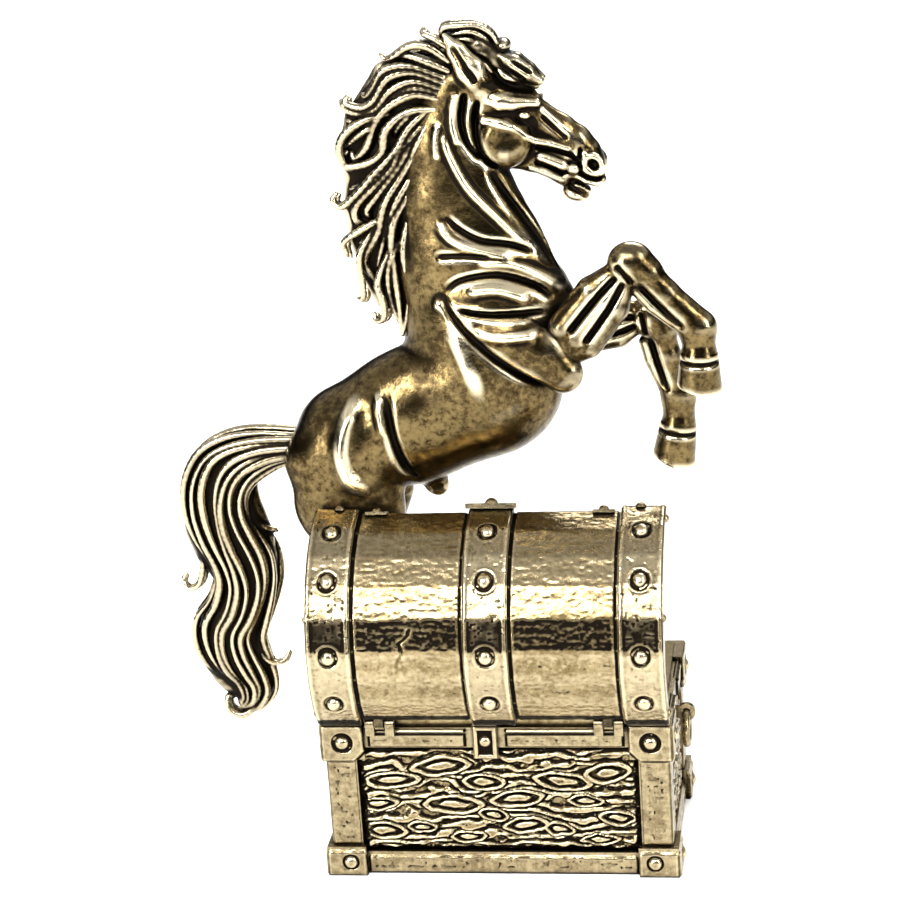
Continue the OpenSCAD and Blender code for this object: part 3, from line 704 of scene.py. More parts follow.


# painted highlights (below 0) and painted shade (above 0) on the horse, as the hollow value
# added along an XZ path and its reach
HORSE_PAINTED_LIGHT = [
    ([(-13.0, 49.6), (-14.5, 46.6), (-14.9, 43.6), (-14.0, 41.0), (-12.3, 39.0)], 0.8, -1.9),
    ([(-10.9, 50.0), (-10.7, 47.6), (-10.3, 46.2)], 0.45, -1.3),
    ([(-9.3, 47.6), (-8.7, 43.8), (-7.4, 40.4)], 0.5, 0.6),
    ([(-3.2, 57.0), (-2.2, 54.4), (-1.2, 52.0), (-0.4, 49.6)], 0.75, -1.9),
    ([(-3.3, 77.0), (-3.6, 75.4), (-3.5, 73.6)], 0.35, -1.0),
    ([(-3.9, 79.6), (-5.4, 77.4), (-7.1, 75.0), (-7.6, 70.0), (-7.5, 66.0), (-6.8, 60.0)], 0.6,
     1.4),
    ([(1.6, 73.0), (3.0, 70.6), (5.0, 67.2)], 0.8, 1.0),
    ([(0.7, 81.0), (2.2, 80.6), (3.8, 80.2), (5.4, 79.9), (6.6, 79.6)], 0.5, 2.8),
    ([(-1.4, 60.3), (1.8, 60.5), (5.0, 59.4)], 0.5, -1.5),
    ([(-1.0, 56.6), (2.0, 56.1), (5.8, 56.5)], 0.45, -1.2),
    ([(0.2, 62.9), (3.6, 62.5), (6.4, 61.1)], 0.35, -1.2),
    ([(-4.0, 67.2), (-2.4, 65.3), (0.4, 64.1), (3.8, 63.3)], 0.3, -1.2),
    ([(1.2, 79.4), (2.8, 79.0), (4.6, 78.7)], 0.6, -2.6),
    ([(1.3, 77.1), (2.6, 76.8), (3.8, 76.3)], 0.5, -1.8),
    ([(2.4, 73.8), (3.6, 73.7)], 1.3, -0.5),
    ([(2.4, 75.6), (3.8, 75.2)], 0.6, 0.4),
    ([(3.6, 77.3), (4.6, 77.0), (5.8, 76.7), (6.7, 76.0)], 0.42, 1.8),
    ([(4.8, 77.42), (5.5, 77.3)], 0.3, -3.8),
    ([(7.0, 77.7), (8.4, 76.3), (10.2, 74.5)], 0.22, -1.0),
    ([(-7.6, 43.6), (-3.0, 45.0), (2.0, 47.6), (5.6, 49.6)], 1.3, -0.25),
    ([(-8.6, 41.0), (-4.0, 41.4), (1.0, 43.6)], 0.9, 0.3),
    ([(-8.0, 53.0), (-5.6, 50.6), (-4.6, 47.6)], 1.6, 0.3),
]


# the same for the forelock: painted shade that makes its leaf the darkest lock
LEAF_PAINTED_SHADE = [([(3.2, 83.0), (4.9, 81.9), (6.6, 80.6)], 1.0, 0.32)]


def with_painted_light(shape, painted_marks):
    """A clay surface with painted highlights and painted shade added to its hollow values; each
    fades out towards its path's ends."""
    points, quads, hollow = shape
    for path, reach, amount in painted_marks:
        line = spline(path, 6)
        near, span, share = nearest_on(line, points[:, 0], points[:, 2])
        place = (span + share) / (len(line) - 1)
        fade = ramp_up(np.minimum(place, 1 - place), -0.12, 0.3)
        hollow = hollow + amount * fade * np.exp(-(near / reach) ** 2)
    return points, quads, hollow


def horse():
    """The body with its head and hind legs, then each foreleg."""
    clay = Clay([-24, MID - 7.2, HEAP_TOP], [14.5, MID + 7.2, 87], 0.16)
    trunk(clay)
    head(clay)
    folds(clay)
    head_creases(clay)
    # painted highlights and painted shade on the horse's hollow values
    mesh_object("horse_casting", with_painted_light(clay.surface(0.48), HORSE_PAINTED_LIGHT), "chest", "horse_brass",
                "horse_body")
    foreleg("right_foreleg", MID - 4.4, (9.4, 55.4), (15.2, 62.8), (21.5, 56.0), (21.6, 53.4),
            (21.5, 49.5))
    foreleg("left_foreleg", MID + 4.6, (8.8, 53.4), (16.4, 54.6), (18.7, 46.0), (18.6, 43.0),
            (17.9, 38.8), stout=0.95)


# ---------------------------------------------------------------- hair

def lock(clay, path, radius, side, root, bulge, drop=0.0):
    """One lock of hair along an XZ path: thick in the middle, thin at the curled tip."""
    p = spline(path, 4)
    t = np.linspace(0, 1, len(p))
    y = MID + side * (root * (1 - 0.45 * t) + bulge * np.sin(np.pi * np.minimum(1.25 * t, 1)))
    r = radius * np.interp(t, [0, 0.25, 0.7, 0.92, 1], [0.75, 1, 0.85, 0.6, 0.4])
    clay.limb([(a, b, c - drop, d, 1.2) for a, b, c, d in zip(p[:, 0], y, p[:, 1], r)], k=0.1)


# the mane's locks, each from the crest out to its curled tip: (x, z) points and a radius
MANE_LOCKS = [
    ([(-1.6, 84.0), (-3.2, 85.2), (-4.4, 85.7), (-4.3, 86.2)], 0.30),
    ([(-2.0, 83.0), (-4.0, 84.5), (-5.9, 84.5), (-8.0, 83.2), (-8.8, 83.7)], 0.42),
    ([(-2.1, 82.0), (-4.6, 83.2), (-6.6, 83.6), (-8.4, 82.6)], 0.40),
    ([(-2.6, 81.4), (-5.8, 82.6), (-8.4, 82.3), (-9.6, 80.6), (-10.4, 79.6), (-10.9, 79.8)], 0.42),
    ([(-2.6, 80.8), (-5.6, 82.0), (-8.1, 81.5), (-9.6, 79.4), (-11.0, 78.5), (-12.6, 78.9),
      (-12.5, 79.6)], 0.44),
    ([(-2.8, 80.2), (-5.6, 81.1), (-8.0, 80.2), (-9.4, 78.5), (-11.0, 77.9), (-12.7, 78.4),
      (-13.1, 79.2)], 0.42),
    ([(-3.0, 79.2), (-5.6, 79.8), (-8.2, 78.7), (-9.8, 76.9), (-10.8, 74.6), (-12.1, 73.3),
      (-12.4, 73.9)], 0.44),
    ([(-3.6, 78.2), (-6.4, 78.0), (-8.7, 76.3), (-9.2, 74.1), (-10.6, 73.0), (-12.8, 72.6),
      (-13.4, 73.4), (-12.9, 74.0)], 0.44),
    ([(-8.4, 77.9), (-11.0, 77.2), (-13.0, 75.8), (-13.6, 74.0), (-12.8, 72.4), (-11.6, 72.5)],
     0.40),
    ([(-9.6, 76.9), (-11.4, 75.9), (-12.9, 74.6)], 0.32),
    ([(-4.4, 78.2), (-6.4, 76.4), (-7.8, 74.2), (-10.0, 72.0), (-12.2, 69.7), (-13.8, 68.5),
      (-14.7, 69.0), (-14.3, 69.8)], 0.44),
    ([(-5.6, 78.3), (-7.4, 76.6), (-8.0, 75.0)], 0.36),
    ([(-5.2, 76.4), (-7.4, 74.2), (-8.3, 72.4), (-10.2, 70.6), (-12.2, 68.7), (-12.4, 67.0),
      (-11.1, 66.3)], 0.44),
    ([(-6.0, 75.2), (-7.8, 72.4), (-9.6, 70.1), (-11.2, 68.2), (-11.1, 67.1)], 0.42),
    ([(-6.4, 73.2), (-8.0, 70.8), (-9.3, 68.8), (-10.2, 65.9), (-11.8, 63.4), (-11.7, 61.8),
      (-10.2, 60.2)], 0.44),
    ([(-6.8, 71.0), (-8.3, 68.6), (-9.6, 65.3), (-10.6, 62.2)], 0.42),
    ([(-9.4, 67.4), (-12.0, 66.1), (-13.8, 64.8), (-13.6, 63.2)], 0.36),
    ([(-7.0, 69.4), (-8.7, 66.5), (-8.9, 62.4), (-8.7, 58.2), (-8.6, 54.9)], 0.42),
    ([(-6.9, 67.6), (-7.8, 64.0), (-7.3, 60.0), (-7.8, 57.4), (-8.6, 54.8)], 0.40),
    ([(-10.8, 66.0), (-12.3, 63.4), (-12.2, 60.4), (-12.3, 58.8), (-12.9, 58.8)], 0.34),
    ([(-9.0, 64.2), (-10.6, 60.8), (-10.2, 58.6), (-10.3, 56.8), (-11.2, 56.5), (-11.3, 57.2)],
     0.36),
    ([(-7.6, 65.4), (-9.2, 62.8), (-9.6, 59.6), (-9.0, 56.4)], 0.36),
    ([(-4.2, 77.0), (-5.6, 74.8), (-6.8, 72.6), (-7.6, 70.2)], 0.36),
    ([(-2.6, 79.6), (-5.4, 80.4), (-7.6, 79.6), (-9.0, 78.0), (-10.2, 76.0)], 0.36),
    ([(-8.6, 79.0), (-9.6, 77.4), (-11.4, 76.9), (-12.6, 77.2)], 0.34),
    ([(-8.4, 73.6), (-10.0, 71.4), (-11.6, 70.6), (-12.8, 70.2)], 0.34),
    ([(-8.8, 70.2), (-9.8, 67.4), (-11.0, 65.6), (-12.2, 64.6)], 0.36),
]

FORELOCK_LOCKS = [
    ([(-2.6, 85.0), (-2.4, 86.1), (-0.8, 86.3), (0.9, 86.2), (2.3, 85.2), (3.0, 83.6)], 0.36),
    ([(-1.6, 85.4), (0.2, 85.7), (1.6, 84.9), (2.4, 83.6)], 0.32),
    ([(-1.4, 84.9), (0.1, 84.9), (1.1, 84.2), (2.1, 83.2)], 0.32),
    ([(-0.6, 83.9), (1.2, 83.6), (2.3, 82.8), (2.8, 81.8)], 0.32),
    ([(0.4, 82.9), (1.4, 82.4), (2.0, 81.6), (2.2, 80.8)], 0.30),
]

# the tail's outer and inner edge, from the rump to the curl at the bottom
TAIL_OUTER = [(-20.6, 44.4), (-25.0, 44.7), (-28.4, 44.4), (-31.2, 43.0), (-33.1, 40.0),
              (-33.7, 36.6), (-33.1, 33.4), (-31.6, 30.6), (-30.9, 28.4), (-31.6, 26.0),
              (-33.3, 23.6), (-33.6, 20.8), (-32.6, 18.6), (-30.6, 17.2), (-29.4, 15.6),
              (-29.4, 14.1)]
TAIL_INNER = [(-20.6, 41.4), (-23.0, 40.5), (-25.2, 38.8), (-25.9, 36.8), (-25.5, 34.8),
              (-24.5, 32.9), (-23.6, 30.8), (-23.5, 28.4), (-24.0, 26.0), (-24.9, 23.4),
              (-25.7, 21.2), (-25.3, 19.2), (-24.8, 17.0), (-25.0, 14.8), (-26.6, 13.0),
              (-28.4, 12.6)]
TAIL_CURLS = [
    ([(-31.6, 32.4), (-31.7, 30.0), (-32.3, 27.8), (-33.6, 27.1), (-34.1, 28.0), (-33.7, 28.7)],
     0.36),
    ([(-26.2, 37.2), (-25.8, 35.2), (-24.6, 33.9), (-23.6, 33.6)], 0.34),
    ([(-26.4, 21.4), (-26.2, 19.6), (-25.2, 18.6), (-24.0, 18.7), (-23.3, 19.8)], 0.32),
    ([(-26.6, 14.6), (-28.6, 12.6), (-30.2, 13.0), (-30.5, 14.4), (-29.9, 14.6)], 0.42),
]


def mane():
    """A solid core and web with the same locks on both sides."""
    clay = Clay([-16, MID - 3.2, 53], [0.5, MID + 3.2, 87.2], 0.11)
    clay.limb([(-2.4, MID, 82.4, 1.5, 0.8), (-6.2, MID, 79.6, 2.5, 0.5),
               (-8.6, MID, 73.6, 2.6, 0.45), (-9.2, MID, 67.4, 2.2, 0.45),
               (-8.8, MID, 60.8, 1.6, 0.5), (-8.6, MID, 56.4, 0.8, 0.9)], k=0.4)
    # a thin web that fills the space between the outer locks
    clay.limb([(-4.6, MID, 83.3, 0.9, 0.5), (-8.2, MID, 81.0, 1.9, 0.35),
               (-11.2, MID, 77.0, 1.8, 0.35), (-11.9, MID, 74.4, 1.9, 0.3),
               (-11.4, MID, 71.2, 2.0, 0.3), (-12.0, MID, 68.2, 1.7, 0.3),
               (-11.2, MID, 65.0, 2.2, 0.3), (-11.2, MID, 61.6, 1.5, 0.4),
               (-10.2, MID, 58.4, 1.1, 0.5)], k=0.3)
    for path, radius in MANE_LOCKS:
        lock(clay, path, 1.12 * radius, side=-1, root=1.6, bulge=0.35)
        lock(clay, path, 1.12 * radius, side=1, root=1.6, bulge=0.35, drop=0.6)
    mesh_object("mane_locks", clay.surface(0.44), "chest", "hair_brass", "mane")


def forelock():
    """The tuft between the ears, its knob, and the leaf-shaped lock over the brow."""
    clay = Clay([-4, MID - 3, 78.5], [9, MID + 3, 87.4], 0.1)
    clay.limb([(-1.8, MID, 84.6, 0.9, 1.2), (0.8, MID, 84.2, 1.2, 1.2), (2.6, MID, 82.8, 1.2, 1.1),
               (4.4, MID, 81.4, 1.0, 0.9), (6.2, MID, 80.1, 0.6, 0.9)], k=0.4)
    clay.egg((3.2, MID + 0.4, 83.95), (0.8, 1.3, 0.75), 0, k=0.15)
    for path, radius in FORELOCK_LOCKS:
        for side, root, drop in ((-1, 0.9, 0.0), (1, 0.9, 0.3), (-1, 0.1, -0.1)):
            lock(clay, path, radius, side=side, root=root, bulge=0.3, drop=drop)
    # the leaf-shaped lock that lies over the brow, with two lines cut along it
    for side in (-1, 1):
        y = MID + side * 0.7
        clay.limb([(3.0, y, 83.1, 0.5, 1.4), (4.3, y, 82.3, 0.9, 1.2), (5.6, y, 81.3, 0.8, 1.2),
                   (6.8, y, 80.5, 0.42, 1.2)], k=0.12)
    for shift in (-0.34, 0.3):
        clay.crease([(3.7 + shift, 82.6 + shift), (4.9 + shift, 81.7 + shift),
                     (6.0 + shift, 80.9 + shift)], 0.2, 0.3, fade=0.3)
    # painted shade on the forelock's leaf
    mesh_object("forelock_locks", with_painted_light(clay.surface(0.4), LEAF_PAINTED_SHADE), "chest",
                "hair_brass", "forelock")


def tail():
    """Long strands side by side round a flat core, and a few curls that leave them."""
    clay = Clay([-35.4, MID - 3, 11.2], [-19, MID + 3, 46.2], 0.11)
    outer, inner = spline(TAIL_OUTER, 4), spline(TAIL_INNER, 4)
    t = np.linspace(0, 1, len(outer))
    width = np.interp(t, [0, 0.1, 0.35, 0.7, 0.9, 1], [1.6, 2.0, 2.2, 1.9, 1.2, 0.6])
    middle = (outer + inner) / 2
    half = np.linalg.norm(outer - inner, axis=1) / 2
    clay.limb([(m[0], MID, m[1], max(h - 0.55, 0.5), 0.42) for m, h in zip(middle[::3], half[::3])],
              k=0.3)
    count = 8
    for side in (-1, 1):
        for i in range(count):
            share = (i + 0.5) / count
            sway = 0.028 * np.sin(7 * t + 2.3 * i + side) + 0.02 * np.sin(17 * t + 1.1 * i)
            across = np.clip(share + sway * ramp_up(t, 0, 0.2), 0.03, 0.97)[:, None]
            path = outer * (1 - across) + inner * across
            y = MID + side * width * np.sqrt(np.clip(1 - (2 * across[:, 0] - 1) ** 2, 0, 1))
            r = 0.37 * np.interp(t, [0, 0.1, 0.8, 1], [0.9, 1, 0.9, 0.6])
            r = r * (1 + 0.28 * np.sin(11 * t + 2.9 * i + side))
            clay.limb([(p[0], q, p[1], s, 1.1) for p, q, s in zip(path, y, r)], k=0.06)
        for path, radius in TAIL_CURLS:
            lock(clay, path, radius, side=side, root=0.5, bulge=0.4, drop=0.0 if side < 0 else 0.4)
    mesh_object("tail_locks", clay.surface(0.44), "chest", "hair_brass", "tail")


# ---------------------------------------------------------------- chest: carved panels and planks

def wall(face, out):
    """Places a skin on one side of the base: u runs along it, v is the height, and out is how
    far the surface stands from the middle."""
    along, outward = {"hinge": ((1, 0), (0, -1)), "front": ((-1, 0), (0, 1)),
                      "right": ((0, 1), (1, 0)), "left": ((0, -1), (-1, 0))}[face]

    def place(u, v):
        points = np.stack([u * along[0] + out * outward[0], u * along[1] + out * outward[1], v],
                          -1)
        return points, np.broadcast_to(np.array([outward[0], outward[1], 0.0]), points.shape)
    return place


# almond knots in the carving: place along the panel, height, half length and half height
KNOTS = [(-5.9, 12.2, 3.0, 0.95), (-11.0, 10.6, 2.8, 0.9), (-1.5, 10.4, 2.1, 0.85),
         (6.6, 10.5, 2.9, 0.9), (11.3, 11.4, 2.3, 1.05), (-4.8, 7.8, 3.0, 1.0),
         (1.8, 8.5, 2.7, 0.85), (-0.7, 6.7, 1.5, 0.65), (12.1, 6.4, 1.9, 0.8),
         (2.6, 5.5, 2.3, 0.85), (6.1, 5.1, 1.5, 0.75), (-12.3, 4.8, 2.4, 0.85),
         (-8.2, 5.3, 1.5, 0.65), (-12.6, 7.9, 2.0, 0.6), (8.9, 8.3, 1.8, 0.6),
         (-3.4, 4.2, 1.8, 0.55), (10.2, 3.9, 2.0, 0.55)]


def carving(u, v, u_half, v_low, v_high, shift):
    """Flowing wood grain that parts round almond knots, all sunk towards the frame."""
    flow = v + 0.75 * noise(u, v, 3.0, 1.5, 3 + shift) + 0.38 * noise(u, v, 1.2, 0.7, 5 + shift)
    nearest = np.full(u.shape, 9.0)
    for a, b, long, high in KNOTS:
        a = a + 0.9 * shift
        tilt = 0.10 * math.sin(3 * a + b)
        du, dv = u - a, v - b - tilt * (u - a)
        dv = dv + 0.16 * noise(u, v, 0.9, 0.9, 15 + shift)
        e = (du / long) ** 2 + (np.abs(dv) / high) ** 1.4
        flow = flow - 0.6 * high * np.sign(dv) * np.exp(-(e / 1.5) ** 2)
        nearest = np.minimum(nearest, e)
    ridge = 0.5 + 0.5 * np.cos(2 * np.pi * flow / 1.1)
    broken = ramp_up(noise(u, v, 1.1, 0.6, 9 + shift), -0.75, -0.1)
    height = 0.03 + 0.5 * ramp_up(ridge, 0.22, 0.62) * (0.25 + 0.75 * broken)
    eyes = 0.54 * ramp_up(-np.abs(nearest - 0.98), -0.34, -0.16)
    eyes = np.maximum(eyes, 0.5 * ramp_up(-nearest, -0.42, -0.2))
    height = np.where(nearest < 1.5, np.maximum(eyes, height * ramp_up(nearest, 1.34, 1.5)),
                      height)
    height = height + 0.05 * noise(u, v, 0.3, 0.25, 11 + shift)
    border = inside(u, v, -u_half, u_half, v_low, v_high)
    border = border + 0.25 * noise(u, v, 0.8, 0.8, 13 + shift)
    return height * ramp_up(border, 0.35, 0.75)


def panels():
    """A carved skin on each side, black along its border."""
    post_width = 3.1
    wide, deep = mm_box("corner_posts")[1][:2] - post_width
    low, high = mm_box("bottom_rails_long")[1][2], mm_box("top_rails_long")[0][2]
    for shift, (face, node, half) in enumerate((("hinge", "panel_hinge_side", wide),
                                                ("front", "panel_front", wide),
                                                ("right", "panel_right", deep),
                                                ("left", "panel_left", deep))):
        corner = mm_box(node)[1] if face in ("front", "right") else -mm_box(node)[0]
        out = corner[1] if face in ("hinge", "front") else corner[0]

        def tone_marks(u, v):
            return 1.8 * (1 - ramp_up(inside(u, v, -half, half, low, high), 0.3, 0.7))
        mesh_object("carving_" + face,
                    skin_mesh((-half, half), (low, high), 0.09, wall(face, out),
                              lambda u, v: carving(u, v, half, low, high, shift), 0.3, tone_marks),
                    "chest", "plank_brass")


# the lid's arch is the CAD lid's: half depth, radius, centre height and number of slats
LID_HALF, LID_RADIUS, LID_CENTRE, SLATS = 10.4, 11.65, -4.45, 8
LID_OPEN = math.radians(70)
HINGE = np.array([0, -10.9, 17.3])


def arch_line():
    """The arch's outline in the closed lid's (y, z), from the hinge side over to the front."""
    half = math.asin(LID_HALF / LID_RADIUS)
    angles = np.linspace(-half, half, SLATS + 1)
    points = [(-LID_HALF, 0.0)]
    points += [(LID_RADIUS * math.sin(a), LID_CENTRE + LID_RADIUS * math.cos(a)) for a in angles]
    return np.array(points + [(LID_HALF, 0.0)])


ARCH = arch_line()
ARCH_PLACES = np.concatenate([[0], np.cumsum(np.linalg.norm(np.diff(ARCH, axis=0), axis=1))])


def lid_skin_place(raised):
    """Places a skin on the open lid: u is along X and v runs over the arch from its hinge side."""
    def place(u, v):
        def line(s):
            return np.stack([np.interp(s, ARCH_PLACES, ARCH[:, 0]),
                             np.interp(s, ARCH_PLACES, ARCH[:, 1])], -1)
        centre = sum(line(v + o) for o in (-0.16, 0, 0.16)) / 3
        along = line(v + 0.2) - line(v - 0.2)
        along /= np.linalg.norm(along, axis=-1, keepdims=True) + 1e-9
        outward = np.stack([-along[..., 1], along[..., 0]], -1)
        centre = centre + outward * raised
        c, s = math.cos(LID_OPEN), math.sin(LID_OPEN)

        def opened(y, z):
            return y * c - z * s, y * s + z * c
        y, z = opened(centre[..., 0] - HINGE[1], centre[..., 1])
        ny, nz = opened(outward[..., 0], outward[..., 1])
        return (np.stack([u, y + HINGE[1], z + HINGE[2]], -1),
                np.stack([0 * u, ny, nz], -1))
    return place


BANDS = (-15.65, 0.2, 15.65)
BAND_HALF = 2.25


def band_gap(u):
    """How far u is from the middle of the gap beside the nearest band."""
    return np.min([np.abs(np.abs(u - x) - BAND_HALF - 0.12) for x in BANDS], axis=0)


def plank_height(u, v):
    """Weathered planks: shallow worm tracks, one crack, and a dark gap along each band."""
    worms = noise(u + 0.4 * noise(u, v, 1.1, 0.7, 21), v, 0.62, 0.30, 22)
    fine = noise(u, v, 0.26, 0.2, 23)
    low = 1 - ramp_up(v, 9.8, 10.6)
    height = 0.12 + (0.022 + 0.004 * low) * worms + (0.012 + 0.004 * low) * fine
    height = height + 0.02 * noise(u, v, 4.0, 0.9, 24)
    crack = np.array([(-7.3, 12.9), (-7.6, 12.0), (-8.5, 11.2), (-8.2, 10.2), (-8.9, 9.0),
                      (-8.8, 7.4)])
    line = np.interp(v, crack[::-1, 1], crack[::-1, 0])
    open_part = ramp_up(v, 7.3, 8.2) * (1 - ramp_up(v, 12.4, 12.9))
    height = height - 0.115 * open_part * np.exp(-((u - line) / 0.2) ** 2)
    height = height - 0.12 * (1 - ramp_up(band_gap(u), 0.12, 0.3))
    return np.maximum(height * ramp_up(v, 0.5, 0.8), 0.005)


def slat_painted_reflection(v):
    """Painted reflections on the slats: the fourth from the hinge is painted nearly black for the
    dark horizon it mirrors; the ones below and above it are painted lighter for the bright floor
    and sky they mirror.
    """
    black = 0.54 * ramp_up(v, 10.3, 10.6) * (1 - ramp_up(v, 13.4, 13.7))
    return black - 0.7 * (1 - ramp_up(v, 9.9, 10.4)) - 0.6 * ramp_up(v, 16.8, 17.2) * (
        1 - ramp_up(v, 22.6, 23.4))


def plank_marks_and_painted_light(u, v):
    """Black joints beside the bands, painted shade along the hinge edge, the slats' painted
    reflections, and brown rows on the lower planks.
    """
    rows = 0.14 * ramp_up(noise(u, v, 1.6, 0.5, 25), 0.0, 0.8)
    # the slats' painted reflections
    rows = rows + slat_painted_reflection(v)
    brown = np.exp(-((v - 8.7) / 0.75) ** 2) + np.exp(-((v - 5.6) / 0.7) ** 2)
    rows = rows + 0.95 * brown * (0.6 + 0.5 * noise(u, v, 0.5, 0.4, 27))
    beside = 1.7 * (1 - ramp_up(band_gap(u), 0.18, 0.32))
    # black joints beside the bands, and painted shade along the hinge edge
    return beside + rows + 4.0 * (1 - ramp_up(v, 1.5, 1.8))


def lid_planks():
    """One weathered skin over all the lid's planks, with a notch in its foot at each hinge."""
    low, high = mm_box("lid_shell")
    pin_ends = np.abs(np.array(mm_box("hinge_pin_left"))[:, 0])
    notch_in, notch_out = pin_ends.min() - 0.3, pin_ends.max() + 0.3
    x0, x1, foot = low[0] + 0.02, high[0] - 0.02, 0.6
    parts = []
    for u_range, v_range in (((x0, x1), (foot, ARCH_PLACES[-1] - 0.3)),
                             ((x0, -notch_out), (0.15, foot)),
                             ((-notch_in, notch_in), (0.15, foot)),
                             ((notch_out, x1), (0.15, foot))):
        parts.append(skin_mesh(u_range, v_range, 0.11, lid_skin_place(0.0), plank_height, 0.3,
                               plank_marks_and_painted_light))
    mesh_object("lid_plank_skin", merged(parts), "lid", "plank_brass")


def rivet_places():
    """Centres of the lid's band rivets as (x, place over the arch)."""
    low, high = mm_box("lid_band_centre")
    centre = (low[0] + high[0]) / 2
    faces = [(ARCH_PLACES[i] + ARCH_PLACES[i + 1]) / 2 for i in range(1, SLATS + 1)]
    half = math.degrees(math.asin(LID_HALF / LID_RADIUS))
    places = []
    for a in (-45, -18.5, 18.5, 45):
        i = int((a + half) // (2 * half / SLATS))
        middle = (i + 0.5) * 2 * half / SLATS - half
        off = (LID_RADIUS + 0.5) * math.cos(math.radians(half / SLATS))
        places.append(faces[i] + off * math.tan(math.radians(a - middle)))
    return centre, places


def band_height(u, v, x0, x1, centre, places):
    """A flat band with a raised lip along both edges, and a dished rivet on each facet."""
    edge = np.minimum(u - x0, x1 - u)
    height = 0.10 + 0.07 * np.exp(-((edge - 0.3) / 0.18) ** 2) - 0.12 * (1 - ramp_up(edge, 0, 0.16))
    pits = ramp_up(noise(u, v, 0.35, 0.3, 31), 0.45, 0.9)
    height = height - 0.05 * pits + 0.02 * noise(u, v, 0.8, 0.8, 32)
    for s in places:
        r = np.hypot(u - centre, v - s)
        height = height - 0.10 * np.exp(-((r - 0.82) / 0.2) ** 2)
        height = height + 0.04 * np.exp(-((r - 1.2) / 0.16) ** 2)
        height = np.where(r < 0.68, np.maximum(height, 0.06 + rivet_head(r, 0.68, 0.5)), height)
    return height


def band_patina_and_painted_light(u, v, centre, places):
    """Painted shade at the hinge edge, the slats' painted reflections with black on the dark
    slat, and black patina in the dish round each rivet.
    """
    # painted shade at the hinge edge, and the slats' painted reflections
    dark = 4.0 * (1 - ramp_up(v, 1.5, 1.8)) + slat_painted_reflection(v)
    for s in places:
        r = np.hypot(u - centre, v - s)
        dark += 1.2 * np.exp(-((r - 0.88) / 0.2) ** 2)
    return dark


def lid_bands():
    """A skin over each of the lid's three bands."""
    centre, places = rivet_places()
    for node in ("lid_band_left", "lid_band_centre", "lid_band_right"):
        low, high = mm_box(node)
        x0, x1 = low[0] + 0.03, high[0] - 0.03
        middle = centre if node == "lid_band_centre" else math.copysign(BANDS[2], low[0])
        mesh_object(node + "_skin",
                    skin_mesh((x0, x1), (0.1, ARCH_PLACES[-1] - 0.1), 0.09, lid_skin_place(0.5),
                              lambda u, v: band_height(u, v, x0, x1, middle, places), 0.2,
                              lambda u, v: band_patina_and_painted_light(u, v, middle, places)),
                    "lid", "strap_brass")


# ---------------------------------------------------------------- chest: frame, brackets, hoard

def bar_height(u, v, u0, u1, v0, v1, proud, seed, slope, ledge):
    """A cast bar's face with rounded edges and worn marks along its middle. slope bevels its top
    edge, and ledge sets a round bead of that height above it."""
    top = v1 - ledge
    edge = inside(u, v, u0, u1, v0, top)
    height = proud * ramp_up(edge, -0.15, 0.25)
    bent = u + 0.3 * noise(u, v, 0.6, 0.6, seed + 3)
    marks = ramp_up(noise(bent, v, 0.42, 0.42, seed), 0.1, 0.6) * ramp_up(edge, 0.4, 0.8)
    height = height - 0.06 * marks + 0.03 * noise(u, v, 1.2, 0.9, seed + 2)
    if ledge:
        bead = np.clip(1 - ((v - v1 + ledge / 2) / (ledge / 2 - 0.1)) ** 2, 0, 1)
        height = np.where(v > top, -0.12 + (proud + 0.22) * np.sqrt(bead), height)
    return height - slope * np.clip((v - v1 + 0.7) / 0.7, 0, 1)


def bar_joints_and_painted_shade(u, v, u0, u1, v1, ledge):
    """Painted shade under the bead along a bar's top and just above it, and dark joints at the
    bar's ends.
    """
    if not ledge:
        return np.zeros(u.shape)
    # painted shade under the bead and just above it
    under = np.exp(-((v - v1 + ledge) / 0.16) ** 2) + np.exp(-((v - v1) / 0.1) ** 2)
    ends = 1 - ramp_up(np.minimum(u - u0, u1 - u), 0.1, 0.35)
    return 7.0 * np.maximum(under, ends)


def base_bars():
    """Worn bars over the rails and posts on each side of the base, as one object."""
    half_x, half_y, rail_top = mm_box("bottom_rails_long")[1]
    top_low, top_high = mm_box("top_rails_long")
    plate_low, plate_high = mm_box("hinge_side_plate")
    # where the top rail is interrupted: its middle and half width, and the seeds of its two ends
    breaks = {"hinge": ((plate_low[0] + plate_high[0]) / 2, 2.0, 53, 57), "front": (0, 3.2, 53, 57),
              "right": (0, 2.0, 61, 65), "left": (0, 2.0, 61, 65)}
    foot_reach, bracket_reach, post_reach = 3.6, 4.42, 2.95       # in from the side's ends
    v_rail, v_post = (0.1, rail_top - 0.02), (3.4, 12.9)
    v_top = (top_low[2] + 0.1, top_high[2])
    parts = []
    for face, (middle, gap, seed_before, seed_after) in breaks.items():
        half, out = (half_x, half_y) if face in ("hinge", "front") else (half_y, half_x)
        for (u0, u1), (v0, v1), proud, seed, slope, ledge in (
                ((-half + foot_reach, half - foot_reach), v_rail, 0.2, 41, 0.38, 0.0),
                ((-half + 0.05, -half + post_reach), v_post, 0.14, 45, 0.0, 0.0),
                ((half - post_reach, half - 0.05), v_post, 0.14, 49, 0.0, 0.0),
                ((-half + bracket_reach, middle - gap), v_top, 0.24, seed_before, 0.0, 0.6),
                ((middle + gap, half - bracket_reach), v_top, 0.24, seed_after, 0.0, 0.6)):
            parts.append(skin_mesh((u0, u1), (v0, v1), 0.1, wall(face, out),
                                   lambda u, v: bar_height(u, v, u0, u1, v0, v1, proud, seed,
                                                           slope, ledge), 0.3,
                                   lambda u, v: bar_joints_and_painted_shade(u, v, u0, u1, v1, ledge)))
    mesh_object("frame_bar_skins", merged(parts), "chest", "strap_brass")


